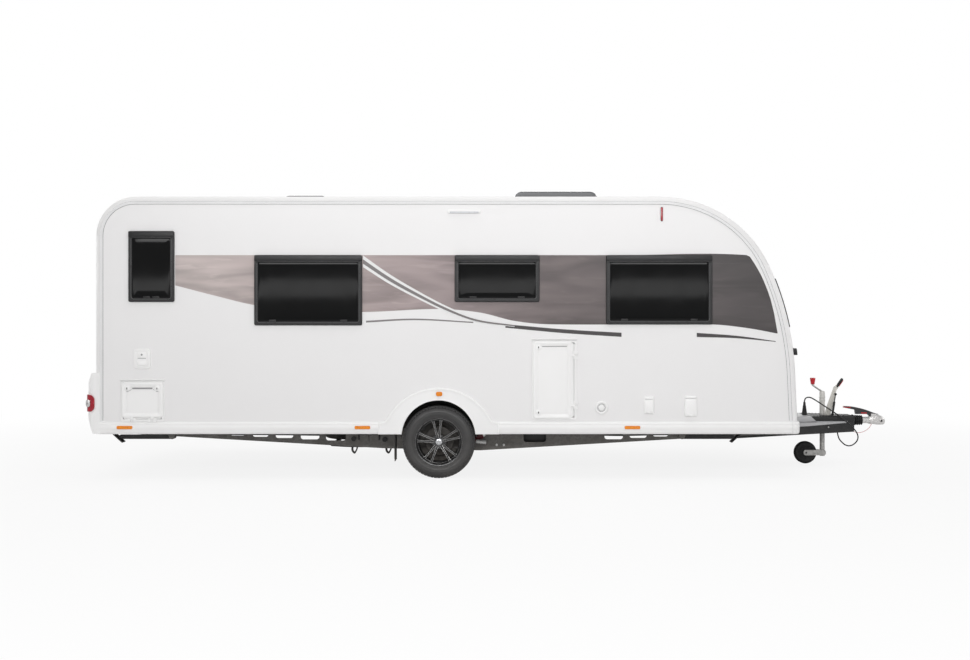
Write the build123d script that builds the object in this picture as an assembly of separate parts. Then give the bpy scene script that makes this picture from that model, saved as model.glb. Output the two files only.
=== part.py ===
from build123d import *
import math
import os

# Travel caravan. Millimetres, X forward to the coupling, Y to the left, Z up from the ground.

# Overall sizes
BODY_LENGTH = 6236.0        # rear wall to the middle of the bowed front wall
HITCH_REACH = 1049.0        # front wall to the nose of the coupling
BUMPER_DEPTH = 85.0         # rear wall to the back of the tail lamps
HALF_WIDTH = 1112.0         # outer face of a side wall
ROOF_HEIGHT = 2469.0
ROOFLIGHT_HEIGHT = 144.0
AXLE_FROM_REAR = 2997.0

# Road wheels and axle
TYRE_R = 318.0
TYRE_WIDTH = 195.0
RIM_R = 208.0
BARREL_R = 182.0
BEAD_R = RIM_R - 14.0
WHEEL_INSET = 130.0         # side wall's outer face to the middle of the tyre
HUB_R = 78.0
HUB_BORE_R = 34.0
DRUM_R = 125.0
DRUM_NECK_R = 62.0
DRUM_DEPTH = 76.0
BRAKE_PLATE_T = 7.0
STUB_R = 22.0
RUN_FIT = 0.3
AXLE_TUBE_R = 55.0
AXLE_END_INSET = 182.0      # middle of the tyre to the end of the cross tube
ARM_REACH = 165.0
ARM_RISE = 22.0
ARM_T = 42.0
ARM_EYE_R = 52.0
ARM_TOE_R = 42.0
SPOKE_PAIRS = 5
SPOKE_LEAN = 10.5           # degrees from the middle of a pair
SPOKE_START = 95.0

# Shell
WALL = 32.0
FLOOR_BOTTOM = TYRE_R + 100.0
FLOOR_THICK = 42.0
CORNER_R = 48.0
REAR_R = 348.0
FRONT_R1 = 1028.0
FRONT_R2 = 2598.0
FRONT_ANGLE_1 = 66.0
FRONT_ANGLE_2 = 87.5
CROWN_R = 6000.0
FRONT_SPLIT = 1870.0
RAIL_WIDTH = 22.0
RAIL_PROUD = 7.0
RAIL_LIP = 8.0
RAIL_BACK = 2.0
SKIRT_BOTTOM = FLOOR_BOTTOM - 25.0
SKIRT_TOP = FLOOR_BOTTOM + 78.0
SKIRT_PROUD = 16.0

# Wheel arches
ARCH_R = TYRE_R + 6.0
ARCH_Z = TYRE_R + 48.0
ARCH_TRIM_R = TYRE_R + 231.0
ARCH_TRIM_Z = TYRE_R - 70.0
ARCH_PROUD = 22.0
ARCH_BEVEL = 9.0
BOX_R = TYRE_R + 54.0
BOX_WALL = 6.0
BOX_DEPTH = TYRE_WIDTH + 58.0

# Windows
WINDOW_BORDER = 34.0
WINDOW_FLANGE = 20.0
WINDOW_PROUD = 18.0
WINDOW_CORNER = 16.0
WINDOW_EDGE_R = 7.0
FRONT_PROUD = 16.0
PANE_THICK = 8.0
PANE_SINK = 4.0

# Doors and lockers
DOOR_FROM_REAR = 3770.0
DOOR_WIDTH = 620.0
DOOR_SILL = FLOOR_BOTTOM + 90.0
DOOR_TOP = 2285.0
DOOR_CORNER = 70.0
DOOR_GAP = 8.0
DOOR_WINDOW_WIDTH = 380.0
DOOR_WINDOW_SILL = 1290.0
DOOR_WINDOW_HEIGHT = 640.0
DOOR_WINDOW_BORDER = 26.0
DOOR_WINDOW_FLANGE = 14.0
FRAME_FLANGE = 10.0
FRAME_BORDER = 20.0
FRAME_PROUD = 8.0
LOCKER_DEPTH = 390.0
LOCKER_WALL = 9.0
LEAF_GROOVE_INSET = 26.0
LEAF_GROOVE_WIDTH = 6.0
LEAF_GROOVE_DEPTH = 3.0
KNUCKLE_R = 7.0
KNUCKLE_HALF = 36.0
KNUCKLE_GAP = 1.0
PIN_R = 3.5
PIN_FIT = 0.1

# Chassis
RAIL_Y = HALF_WIDTH - 412.0     # outer face of a main rail
RAIL_T = 5.0
RAIL_FLANGE = 46.0
BEARER_WIDTH = 56.0
BEARER_HEIGHT = 56.0
DRAWBAR_Z0 = 314.0
DRAWBAR_Z1 = 417.0
DRAWBAR_W = 56.0
DRAWBAR_TAIL = 540.0            # front wall back to the end of a drawbar
HOUSING_LENGTH = 197.0
HOUSING_FROM_NOSE = 505.0
HOUSING_HALF = 44.0
HOUSING_FOOT = 339.0
HOUSING_OVER_SHAFT = 6.0
COLLAR_LENGTH = 12.0
HITCH_Z = 421.0
SHAFT_R = 31.0
GAITER_R = 51.0
GAITER_LENGTH = 81.0
GAITER_RIBS = 5
GAITER_RIB_DEPTH = 9.0
HEAD_LENGTH = 156.0
HEAD_HALF = 43.0
HEAD_SLEEVE = 40.0
BALL_FROM_NOSE = 48.0
BALL_R = 25.2
BALL_Z = 417.0
BALL_BOSS_R = 17.0
BALL_BOSS_PROUD = 12.9
HANDLE_HALF = 21.0
COVER_TOP = 473.0
COVER_WALL = 5.0
COVER_RIM = 23.0
COVER_EDGE_R = 22.0
COVER_HALF_REAR = 330.0
COVER_HALF_FRONT = 92.0
COVER_FIT = 4.0
LEVER_Y0 = -58.0
LEVER_Y1 = -42.0

# Jockey wheel
JOCKEY_FROM_NOSE = 606.0
JOCKEY_R = 108.0
JOCKEY_TRAIL = 167.0
JOCKEY_TYRE_W = 60.0
JOCKEY_TUBE_R = 24.0
JOCKEY_TOP = 687.0
JOCKEY_STEM_R = 14.0
JOCKEY_PIN_R = 9.0
FORK_T = 5.0
FORK_HALF_HEIGHT = 26.0
FORK_SIDE_GAP = 7.0
CRANK_R = 8.0
CRANK_REACH = 92.0
KNOB_R0 = 17.0
KNOB_R1 = 25.0
KNOB_LENGTH = 62.0
CLAMP_FIT = 0.3
CLAMP_HALF = 42.0
CLAMP_FOOT = 345.0

# Corner steadies
STEADY_PIVOT_Z = FLOOR_BOTTOM - 73.0
STEADY_LENGTH = 470.0
STEADY_DROP = 42.0              # degrees from stowed to the ground
STEADY_Y = HALF_WIDTH - 252.0
STEADY_W = 46.0
STEADY_PIN_R = 8.0
STEADY_EYE_R = 20.0
STEADY_GAP = 6.0
STEADY_HALF_HEIGHT = 18.0
STEADY_SKIN = 5.0
EAR_T = 6.0
PLATE_T = 14.0
PAD_LENGTH = 110.0
PAD_WIDTH = 90.0
PAD_T = 8.0
PAD_DROP = 14.0

# Spare wheel
SPARE_FROM_REAR = 2160.0
SPARE_DROP = 96.0               # floor down to the middle of the spare wheel
SPARE_R = TYRE_R - 8.0
SPARE_WIDTH = 130.0
SPARE_EDGE_R = 34.0
SPARE_DISC_T = 10.0
SPARE_HOLE_R = 35.0
CARRIER_BAR_W = 36.0
CARRIER_BAR_T = 13.0
CARRIER_SPREAD = 150.0

# Cables
CABLE_D = 12.0
BREAK_D = 4.0
PLUG_R = 24.0
PLUG_NECK_R = 17.0
PLUG_SHOULDER = 545.0
PLUG_TOP = 602.0

# Furniture
KITCHEN_DEPTH = 540.0
KITCHEN_TOP = 1372.0
BOARD_T = 20.0
WORKTOP_T = 32.0
PLINTH_BOARD = 18.0
CUSHION_T = 140.0
CUSHION_INSET = 10.0
CUSHION_EDGE_R = 30.0

# Places along the caravan
X_TAIL = -(BODY_LENGTH + HITCH_REACH + BUMPER_DEPTH) / 2
X_REAR = X_TAIL + BUMPER_DEPTH
X_FRONT = X_REAR + BODY_LENGTH
X_NOSE = X_FRONT + HITCH_REACH
X_AXLE = X_REAR + AXLE_FROM_REAR
X_CROWN = X_FRONT - CROWN_R
X_MID = (X_REAR + X_FRONT) / 2
INNER = HALF_WIDTH - WALL
FLOOR_TOP = FLOOR_BOTTOM + FLOOR_THICK
WHEEL_Y = HALF_WIDTH - WHEEL_INSET
NEAR = 0.05                     # assembly play between pieces that are bolted or bonded
FAR = 2000.0                    # past everything, for cuts
CUT = 5.0                       # how far a cut runs past a face


# Construction helpers

def across(sketch, y0, y1):
    """A side-view sketch made solid between two places across the caravan."""
    return Pos(0, y0, 0) * extrude(Plane.XZ * sketch, amount=y1 - y0, dir=(0, 1, 0))


def along(sketch, x0, x1):
    """An end-view sketch made solid between two places along the caravan."""
    return Pos(x0, 0, 0) * extrude(Plane.YZ * sketch, amount=x1 - x0, dir=(1, 0, 0))


def upward(sketch, z0, z1):
    """A plan sketch made solid between two heights."""
    return extrude(Pos(0, 0, z0) * sketch, amount=z1 - z0, dir=(0, 0, 1))


def block(x0, x1, y0, y1, z0, z1):
    return Pos((x0 + x1) / 2, (y0 + y1) / 2, (z0 + z1) / 2) * Box(x1 - x0, y1 - y0, z1 - z0)


def panel(a0, a1, b0, b1, r):
    """Rounded rectangle from two opposite corners."""
    return Pos((a0 + a1) / 2, (b0 + b1) / 2) * RectangleRounded(a1 - a0, b1 - b0, max(r, 4.0))


def centred(x, length, width, r):
    """Rounded rectangle about a place on the middle line."""
    return panel(x - length / 2, x + length / 2, -width / 2, width / 2, r)


def inset(spec, d):
    """The same opening made smaller all round: x0, x1, z0, z1, corner radius."""
    x0, x1, z0, z1, r = spec
    return panel(x0 + d, x1 - d, z0 + d, z1 - d, r - d)


def rod(a, b, r):
    """Round bar between two points."""
    start = Vector(*a)
    way = Vector(*b) - start
    return extrude(Plane(start, z_dir=way) * Circle(r), amount=way.length)


def disc_y(x, z, r, y0, y1):
    return across(Pos(x, z) * Circle(r), y0, y1)


def post(x, y, r, z0, z1):
    return upward(Pos(x, y) * Circle(r), z0, z1)


def poly(*points):
    return make_face(Polyline(*points, close=True))


def right(piece):
    """A piece made for the left side, moved to the right side."""
    return mirror(piece, about=Plane.XZ)


def save(name, *pieces):
    os.makedirs("parts", exist_ok=True)
    solids = [s for p in pieces for s in p.solids()]
    export_step(Compound(solids), f"parts/{name}.step")
    print(name, len(solids), "solids", round(sum(s.volume for s in solids) / 1e6, 2), "litres")


# Body outline: flat floor and roof, rounded rear corner, front in two tangent arcs and a raked foot

N1 = (math.sin(math.radians(FRONT_ANGLE_1)), math.cos(math.radians(FRONT_ANGLE_1)))
N2 = (math.sin(math.radians(FRONT_ANGLE_2)), math.cos(math.radians(FRONT_ANGLE_2)))
FOOT_Z = ROOF_HEIGHT - FRONT_R1 + (FRONT_R1 - FRONT_R2) * N1[1] + FRONT_R2 * N2[1]
FOOT_RUN = (FOOT_Z - FLOOR_BOTTOM) * N2[1] / N2[0]
X_CURVE = X_FRONT - FOOT_RUN - FRONT_R1 * N1[0] - FRONT_R2 * (N2[0] - N1[0])
JOIN_LAP = 150.0
X_JOIN = X_CURVE - JOIN_LAP


def rear_outline(d, bottom):
    top = ROOF_HEIGHT - d
    cx = X_REAR + REAR_R
    cz = ROOF_HEIGHT - REAR_R
    h = (REAR_R - d) * math.sqrt(0.5)
    p = [(X_REAR + d, bottom), (X_REAR + d, cz), (cx, top), (X_JOIN, top), (X_JOIN, bottom)]
    return make_face([
        Line(p[0], p[1]),
        ThreePointArc(p[1], (cx - h, cz + h), p[2]),
        Line(p[2], p[3]),
        Line(p[3], p[4]),
        Line(p[4], p[0]),
    ])


def front_outline(d, bottom):
    top = ROOF_HEIGHT - d
    start = X_JOIN - JOIN_LAP
    c1 = Vector(X_CURVE, ROOF_HEIGHT - FRONT_R1)
    c2 = c1 + Vector(*N1) * (FRONT_R1 - FRONT_R2)

    def on(c, r, degrees):
        a = math.radians(degrees)
        return c + Vector(math.sin(a), math.cos(a)) * (r - d)

    a = Vector(X_CURVE, top)
    b = on(c1, FRONT_R1, FRONT_ANGLE_1)
    c = on(c2, FRONT_R2, FRONT_ANGLE_2)
    foot = Vector(c.X + (c.Y - bottom) * N2[1] / N2[0], bottom)
    return make_face([
        Line((start, bottom), (start, top)),
        Line((start, top), a),
        ThreePointArc(a, on(c1, FRONT_R1, FRONT_ANGLE_1 / 2), b),
        ThreePointArc(b, on(c2, FRONT_R2, (FRONT_ANGLE_1 + FRONT_ANGLE_2) / 2), c),
        Line(c, foot),
        Line(foot, (start, bottom)),
    ])


def front_solid(d, bottom=FLOOR_BOTTOM):
    """The front of the body, bowed in plan about a far upright line."""
    reach = X_JOIN - JOIN_LAP - X_CROWN
    turn = math.degrees(math.asin((HALF_WIDTH + 200.0) / reach))
    axis = Axis((X_CROWN, 0, 0), (0, 0, 1))
    swept = revolve(Plane.XZ * front_outline(d, bottom), axis=axis, revolution_arc=2 * turn)
    return swept.rotate(axis, -turn)


def body(d, half, bottom=FLOOR_BOTTOM):
    """The whole body block with its outline moved in by d and its sides at half."""
    front = front_solid(d, bottom) & block(X_REAR, X_NOSE, -half, half, bottom, ROOF_HEIGHT + 100)
    return (across(rear_outline(d, bottom), -half, half) + front).clean()


def front_band(outer, inner):
    """A layer of the bowed front between two offsets from its face."""
    return front_solid(outer, FLOOR_TOP + 40) - front_solid(inner, FLOOR_TOP - 60)


# Shell panels: side walls end where the rounded corners begin

outer = body(0.0, HALF_WIDTH)
rims = [
    e for e in outer.edges()
    if abs(abs(e.center().Y) - HALF_WIDTH) < 0.01 and e.center().Z > FLOOR_BOTTOM + 1
]
outer = fillet(rims, CORNER_R)
shell = outer - body(WALL, INNER, FLOOR_BOTTOM - 20)
flat = body(CORNER_R, HALF_WIDTH + 10, FLOOR_BOTTOM)
left_wall = flat & block(X_REAR, X_NOSE, INNER, HALF_WIDTH, FLOOR_BOTTOM, ROOF_HEIGHT)
right_wall = right(left_wall)
wrap = shell - left_wall - right_wall
rear_panel = wrap & block(X_REAR - 50, X_MID, -FAR, FAR, 0, ROOF_HEIGHT - REAR_R)
front_panel = wrap & block(X_MID, X_NOSE, -FAR, FAR, 0, FRONT_SPLIT)
roof_panel = wrap - rear_panel - front_panel
floor = body(WALL, INNER) & block(X_REAR, X_NOSE, -FAR, FAR, FLOOR_BOTTOM, FLOOR_TOP)


def edge_ring(near, far):
    """Band along the edge of the side wall's outline, between two distances in from it."""
    return body(near, HALF_WIDTH + 40) - body(far, HALF_WIDTH + 50, FLOOR_BOTTOM - 20)


rail_zone = block(X_REAR, X_NOSE, HALF_WIDTH, HALF_WIDTH + RAIL_PROUD, SKIRT_TOP, ROOF_HEIGHT)
groove_zone = block(X_REAR, X_NOSE, HALF_WIDTH + RAIL_BACK, HALF_WIDTH + 20, 0, ROOF_HEIGHT)
left_rail = edge_ring(CORNER_R, CORNER_R + RAIL_WIDTH) & rail_zone
left_rail -= edge_ring(CORNER_R + RAIL_LIP, CORNER_R + RAIL_WIDTH - RAIL_LIP) & groove_zone

# Side windows: from_rear is the rear edge's distance from the rear wall
SIDE_WINDOWS = [
    # side, from_rear, width, sill, height
    ("right", 296.0, 400.0, 1545.0, 618.0),
    ("right", 1392.0, 940.0, 1341.0, 613.0),
    ("right", 3138.0, 739.0, 1545.0, 409.0),
    ("right", 4457.0, 925.0, 1349.0, 605.0),
    ("left", 1392.0, 940.0, 1341.0, 613.0),
    ("left", 4620.0, 762.0, 1349.0, 605.0),
]
# Front windows: a wide one in the middle and one each side of it
FRONT_WINDOW_SILL = 1325.0
FRONT_WINDOW_HEIGHT = 430.0
FRONT_WINDOW_MIDDLE = 430.0
FRONT_WINDOW_POST = 40.0
FRONT_WINDOW_EDGE = HALF_WIDTH - 122.0
SUNROOF_LENGTH = 620.0
SUNROOF_HALF = 470.0
SUNROOF_CORNER = 70.0
SUNROOF_START = 30.0


def window(spec):
    """Frame, pane and wall cut-out of one left-hand window."""
    flange = inset(spec, 0) - inset(spec, WINDOW_BORDER)
    liner = inset(spec, WINDOW_FLANGE) - inset(spec, WINDOW_BORDER)
    frame = across(flange, HALF_WIDTH, HALF_WIDTH + WINDOW_PROUD) + across(liner, INNER, HALF_WIDTH)
    rim_edges = frame.faces().sort_by(Axis.Y)[-1].outer_wire().edges()
    frame = fillet(rim_edges, WINDOW_EDGE_R)
    y = HALF_WIDTH + WINDOW_PROUD - PANE_SINK
    pane = across(inset(spec, WINDOW_BORDER), y - PANE_THICK, y)
    hole = across(inset(spec, WINDOW_FLANGE), INNER - CUT, HALF_WIDTH + CUT)
    return frame, pane, hole


frames = []
panes = []
for side, from_rear, width, sill, height in SIDE_WINDOWS:
    x0 = X_REAR + from_rear
    frame, pane, hole = window((x0, x0 + width, sill, sill + height, WINDOW_CORNER))
    if side == "left":
        left_wall -= hole
        frames.append(frame)
        panes.append(pane)
    else:
        right_wall -= right(hole)
        frames.append(right(frame))
        panes.append(right(pane))

outer_layer = front_band(-FRONT_PROUD, 0.0)
wall_layer = front_band(0.0, WALL)
pane_layer = front_band(PANE_SINK - FRONT_PROUD, PANE_SINK - FRONT_PROUD + PANE_THICK)
STEPS = (0.0, WINDOW_FLANGE, WINDOW_BORDER)
window_spans = [
    (-FRONT_WINDOW_MIDDLE, FRONT_WINDOW_MIDDLE),
    (FRONT_WINDOW_MIDDLE + FRONT_WINDOW_POST, FRONT_WINDOW_EDGE),
    (-FRONT_WINDOW_EDGE, -FRONT_WINDOW_MIDDLE - FRONT_WINDOW_POST),
]
front_openings = []
for y0, y1 in window_spans:
    spec = (y0, y1, FRONT_WINDOW_SILL, FRONT_WINDOW_SILL + FRONT_WINDOW_HEIGHT, WINDOW_CORNER)
    front_openings.append([along(inset(spec, d), X_MID, X_NOSE) for d in STEPS])
x_sun = X_CURVE + SUNROOF_START
spec = (x_sun, x_sun + SUNROOF_LENGTH, -SUNROOF_HALF, SUNROOF_HALF, SUNROOF_CORNER)
front_openings.append([upward(inset(spec, d), FRONT_SPLIT + 50, ROOF_HEIGHT + 50) for d in STEPS])
for whole, hole, clear in front_openings:
    frames.append((outer_layer & (whole - clear)) + (wall_layer & (hole - clear)))
    panes.append(pane_layer & clear)
    front_panel -= hole
    roof_panel -= hole

# Hinges: knuckles round a pin that stands just outside the wall face


def hinge(axis_point, axis_dir, to_fixed, span):
    """Fixed ears with their pin, and the moving knuckle, about one hinge line.

    to_fixed is the way from the hinge line along the fixed leaf."""
    base = Plane(Vector(*axis_point), z_dir=Vector(*axis_dir), x_dir=Vector(*to_fixed))
    third = KNUCKLE_HALF / 3

    def leaf(way, z0, z1):
        plate = Pos(way * span / 2, 0, (z0 + z1) / 2) * Box(span, 2 * KNUCKLE_R, z1 - z0)
        barrel = Pos(0, 0, (z0 + z1) / 2) * Cylinder(KNUCKLE_R, z1 - z0)
        return plate + barrel

    ears = leaf(1, -KNUCKLE_HALF, -third) + leaf(1, third, KNUCKLE_HALF)
    ears += Cylinder(PIN_R, 2 * KNUCKLE_HALF)
    knuckle = leaf(-1, KNUCKLE_GAP - third, third - KNUCKLE_GAP)
    knuckle -= Cylinder(PIN_R + PIN_FIT, 3 * KNUCKLE_HALF)
    return base * ears, base * knuckle


HINGE_Y = HALF_WIDTH + FRAME_PROUD + KNUCKLE_R
UPRIGHT_SPAN = 34.0
FLAT_SPAN = 25.0
TO_EDGE = FRAME_BORDER + DOOR_GAP / 2


def opening(spec):
    """Frame with flange and liner, door leaf and wall cut-out of one left-hand opening."""
    flange = inset(spec, 0) - inset(spec, FRAME_BORDER)
    liner = inset(spec, FRAME_FLANGE) - inset(spec, FRAME_BORDER)
    frame = across(flange, HALF_WIDTH, HALF_WIDTH + FRAME_PROUD) + across(liner, INNER, HALF_WIDTH)
    leaf = across(inset(spec, FRAME_BORDER + DOOR_GAP), INNER, HALF_WIDTH + FRAME_PROUD)
    hole = across(inset(spec, FRAME_FLANGE), INNER - CUT, HALF_WIDTH + CUT)
    return frame, leaf, hole


# Entrance door on the left, hinged on its front edge
DOOR_HINGE_INSET = 220.0
x_door = X_REAR + DOOR_FROM_REAR
door_spec = (x_door, x_door + DOOR_WIDTH, DOOR_SILL, DOOR_TOP, DOOR_CORNER)
door_frame, door, hole = opening(door_spec)
left_wall -= hole
for z in (DOOR_SILL + DOOR_HINGE_INSET, (DOOR_SILL + DOOR_TOP) / 2, DOOR_TOP - DOOR_HINGE_INSET):
    ears, knuckle = hinge((door_spec[1] - TO_EDGE, HINGE_Y, z), (0, 0, 1), (1, 0, 0), UPRIGHT_SPAN)
    door_frame += ears
    door += knuckle
x_window = x_door + (DOOR_WIDTH - DOOR_WINDOW_WIDTH) / 2
z_window = DOOR_WINDOW_SILL
door_window = (x_window, x_window + DOOR_WINDOW_WIDTH, z_window, z_window + DOOR_WINDOW_HEIGHT, 60.0)
door_face = HALF_WIDTH + FRAME_PROUD
pane_form = inset(door_window, DOOR_WINDOW_BORDER)
flange = across(inset(door_window, 0) - pane_form, door_face, door_face + FRAME_PROUD)
liner = across(inset(door_window, DOOR_WINDOW_FLANGE) - pane_form, INNER, door_face)
door_window_frame = flange + liner
door_window_pane = across(pane_form, HALF_WIDTH - PANE_THICK / 2, HALF_WIDTH + PANE_THICK / 2)
door -= across(inset(door_window, DOOR_WINDOW_FLANGE), INNER - CUT, door_face + CUT)

# Lockers on the right wall: box behind the wall, frame, and a leaf that opens
GAS_FROM_REAR = 3811.0
GAS_WIDTH = 390.0
GAS_SILL = FLOOR_BOTTOM + 101.0
GAS_HEIGHT = 693.0
GAS_CORNER = 26.0
GAS_HINGE_INSET = 130.0
CASSETTE_FROM_REAR = 228.0
CASSETTE_WIDTH = 379.0
CASSETTE_SILL = FLOOR_BOTTOM + 84.0
CASSETTE_HEIGHT = 354.0
CASSETTE_CORNER = 30.0
CASSETTE_HINGE_INSET = 100.0


def locker(spec):
    """Open box with its wall frame, the leaf and the wall cut-out, for the left side."""
    frame, leaf, hole = opening(spec)
    deep = INNER - LOCKER_DEPTH
    hollow = across(inset(spec, FRAME_BORDER), deep, INNER)
    box = across(inset(spec, FRAME_BORDER - LOCKER_WALL), deep - LOCKER_WALL, INNER) - hollow
    line = FRAME_BORDER + DOOR_GAP + LEAF_GROOVE_INSET
    groove = inset(spec, line) - inset(spec, line + LEAF_GROOVE_WIDTH)
    leaf -= across(groove, door_face - LEAF_GROOVE_DEPTH, door_face + CUT)
    return frame + box, leaf, hole


x_gas = X_REAR + GAS_FROM_REAR
gas_spec = (x_gas, x_gas + GAS_WIDTH, GAS_SILL, GAS_SILL + GAS_HEIGHT, GAS_CORNER)
gas_box, gas_door, hole = locker(gas_spec)
right_wall -= right(hole)
for z in (gas_spec[2] + GAS_HINGE_INSET, gas_spec[3] - GAS_HINGE_INSET):
    ears, knuckle = hinge((gas_spec[1] - TO_EDGE, HINGE_Y, z), (0, 0, 1), (1, 0, 0), UPRIGHT_SPAN)
    gas_box += ears
    gas_door += knuckle

x_cassette = X_REAR + CASSETTE_FROM_REAR
z_cassette = CASSETTE_SILL
cassette_spec = (
    x_cassette, x_cassette + CASSETTE_WIDTH, z_cassette, z_cassette + CASSETTE_HEIGHT, CASSETTE_CORNER
)
cassette_box, cassette_door, hole = locker(cassette_spec)
right_wall -= right(hole)
for x in (cassette_spec[0] + CASSETTE_HINGE_INSET, cassette_spec[1] - CASSETTE_HINGE_INSET):
    ears, knuckle = hinge((x, HINGE_Y, z_cassette + TO_EDGE), (1, 0, 0), (0, 0, -1), FLAT_SPAN)
    cassette_box += ears
    cassette_door += knuckle

# Wheel arches: wall cut, outer trim and inner box
arch_cut = disc_y(X_AXLE, ARCH_Z, ARCH_R, INNER - CUT, HALF_WIDTH + CUT)
left_wall -= arch_cut
right_wall -= right(arch_cut)
arch = (Pos(X_AXLE, ARCH_TRIM_Z) * Circle(ARCH_TRIM_R)) - (Pos(X_AXLE, ARCH_Z) * Circle(ARCH_R))
arch_trim = across(arch, HALF_WIDTH, HALF_WIDTH + ARCH_PROUD)
arch_trim &= block(X_AXLE - FAR, X_AXLE + FAR, 0, FAR, SKIRT_BOTTOM, ROOF_HEIGHT)
arch_edge = [
    e for e in arch_trim.edges()
    if abs(e.center().Y - HALF_WIDTH - ARCH_PROUD) < 0.01 and e.center().Z > SKIRT_TOP + 150
]
arch_trim = chamfer(arch_edge, ARCH_BEVEL)
drum_out = disc_y(X_AXLE, TYRE_R, BOX_R + BOX_WALL, INNER - BOX_DEPTH, INNER)
drum_in = disc_y(X_AXLE, TYRE_R, BOX_R, INNER - BOX_DEPTH + BOX_WALL, INNER + CUT)
wheel_box = (drum_out - drum_in) & block(X_AXLE - FAR, X_AXLE + FAR, 0, FAR, FLOOR_BOTTOM, ROOF_HEIGHT)
for place in (drum_out, right(drum_out)):
    floor -= place

# Skirts along the foot of the side walls
skirt = poly(
    (HALF_WIDTH, SKIRT_TOP),
    (HALF_WIDTH + 5, SKIRT_TOP),
    (HALF_WIDTH + SKIRT_PROUD, SKIRT_TOP - 22),
    (HALF_WIDTH + SKIRT_PROUD, SKIRT_BOTTOM + 12),
    (HALF_WIDTH + SKIRT_PROUD - 12, SKIRT_BOTTOM),
    (INNER, SKIRT_BOTTOM),
    (INNER, FLOOR_BOTTOM),
    (HALF_WIDTH, FLOOR_BOTTOM),
)
SKIRT_END_GAP = 8.0
sagitta = CROWN_R - math.sqrt(CROWN_R ** 2 - HALF_WIDTH ** 2)
left_skirt = along(skirt, X_REAR + CORNER_R, X_FRONT - sagitta - CORNER_R - SKIRT_END_GAP)
left_skirt -= disc_y(X_AXLE, ARCH_TRIM_Z, ARCH_TRIM_R, 0, FAR)

# Rear bumper moulding and the lamps that wrap its corners
LAMP_PROUD = 12.0
LAMP_BOTTOM = 590.0
LAMP_TOP = 736.0
LAMP_CORNER = 45.0
LAMP_WRAP = 210.0
BUMPER_WALL = 6.0
BUMPER_CORNER = 80.0
BUMPER_SHAPE = [
    # behind the rear wall, height
    (-CORNER_R, 930.0),
    (26.0, 925.0),
    (58.0, 845.0),
    (BUMPER_DEPTH - LAMP_PROUD, 690.0),
    (BUMPER_DEPTH - LAMP_PROUD, 560.0),
    (58.0, 515.0),
    (14.0, SKIRT_BOTTOM + 4),
    (-CORNER_R, SKIRT_BOTTOM),
]


def bumper_form(grow):
    """The bumper's outer form, grown or shrunk all round."""
    face = poly(*[(X_REAR - back, z) for back, z in BUMPER_SHAPE])
    if grow:
        face = offset(face, amount=grow, kind=Kind.INTERSECTION)
    half = HALF_WIDTH + SKIRT_PROUD + grow
    form = across(face, -half, half)
    form &= block(X_TAIL - 50, X_REAR + CORNER_R, -half, half, 0, ROOF_HEIGHT)
    plan = panel(X_TAIL - grow + LAMP_PROUD, X_MID, -half, half, BUMPER_CORNER + grow)
    return form & upward(plan, 0, ROOF_HEIGHT)


bumper_outer = bumper_form(0.0) - outer
bumper = bumper_outer - bumper_form(-BUMPER_WALL)
lamp_face = panel(X_TAIL - 40, X_REAR + 4, LAMP_BOTTOM, LAMP_TOP, LAMP_CORNER)
lamp_zone = across(lamp_face, HALF_WIDTH - LAMP_WRAP, HALF_WIDTH + 100)
left_lamp = (bumper_form(LAMP_PROUD) - bumper_form(0.0)) & lamp_zone

# Roof lights: rim on the roof with a smoked dome over the hole
ROOFLIGHTS = [
    # from_rear, length, width, height
    (4076.0, 821.0, 620.0, ROOFLIGHT_HEIGHT),
    (1684.0, 460.0, 460.0, 112.0),
]
RIM_SHARE = 0.38
RIM_INSET = 120.0
RIM_CORNER = 70.0
RIM_BEVEL = 10.0
DOME_INSET = 32.0
DOME_HOLLOW_INSET = 80.0
DOME_WALL = 8.0
light_rims = []
domes = []
for from_rear, length, width, height in ROOFLIGHTS:
    x = X_REAR + from_rear
    rim_z = ROOF_HEIGHT + RIM_SHARE * height
    top_z = ROOF_HEIGHT + height
    hole = upward(centred(x, length - RIM_INSET, width - RIM_INSET, 40.0), ROOF_HEIGHT - WALL - CUT, top_z)
    roof_panel -= hole
    rim = upward(centred(x, length, width, RIM_CORNER), ROOF_HEIGHT, rim_z) - hole
    light_rims.append(chamfer(rim.faces().sort_by(Axis.Z)[-1].outer_wire().edges(), RIM_BEVEL))
    dome = upward(centred(x, length - DOME_INSET, width - DOME_INSET, 60.0), rim_z, top_z)
    dome = fillet(dome.faces().sort_by(Axis.Z)[-1].edges(), 0.5 * height)
    hollow = centred(x, length - DOME_HOLLOW_INSET, width - DOME_HOLLOW_INSET, 50.0)
    inside = upward(hollow, rim_z, top_z - DOME_WALL)
    domes.append(dome - chamfer(inside.faces().sort_by(Axis.Z)[-1].edges(), 0.25 * height))

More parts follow.
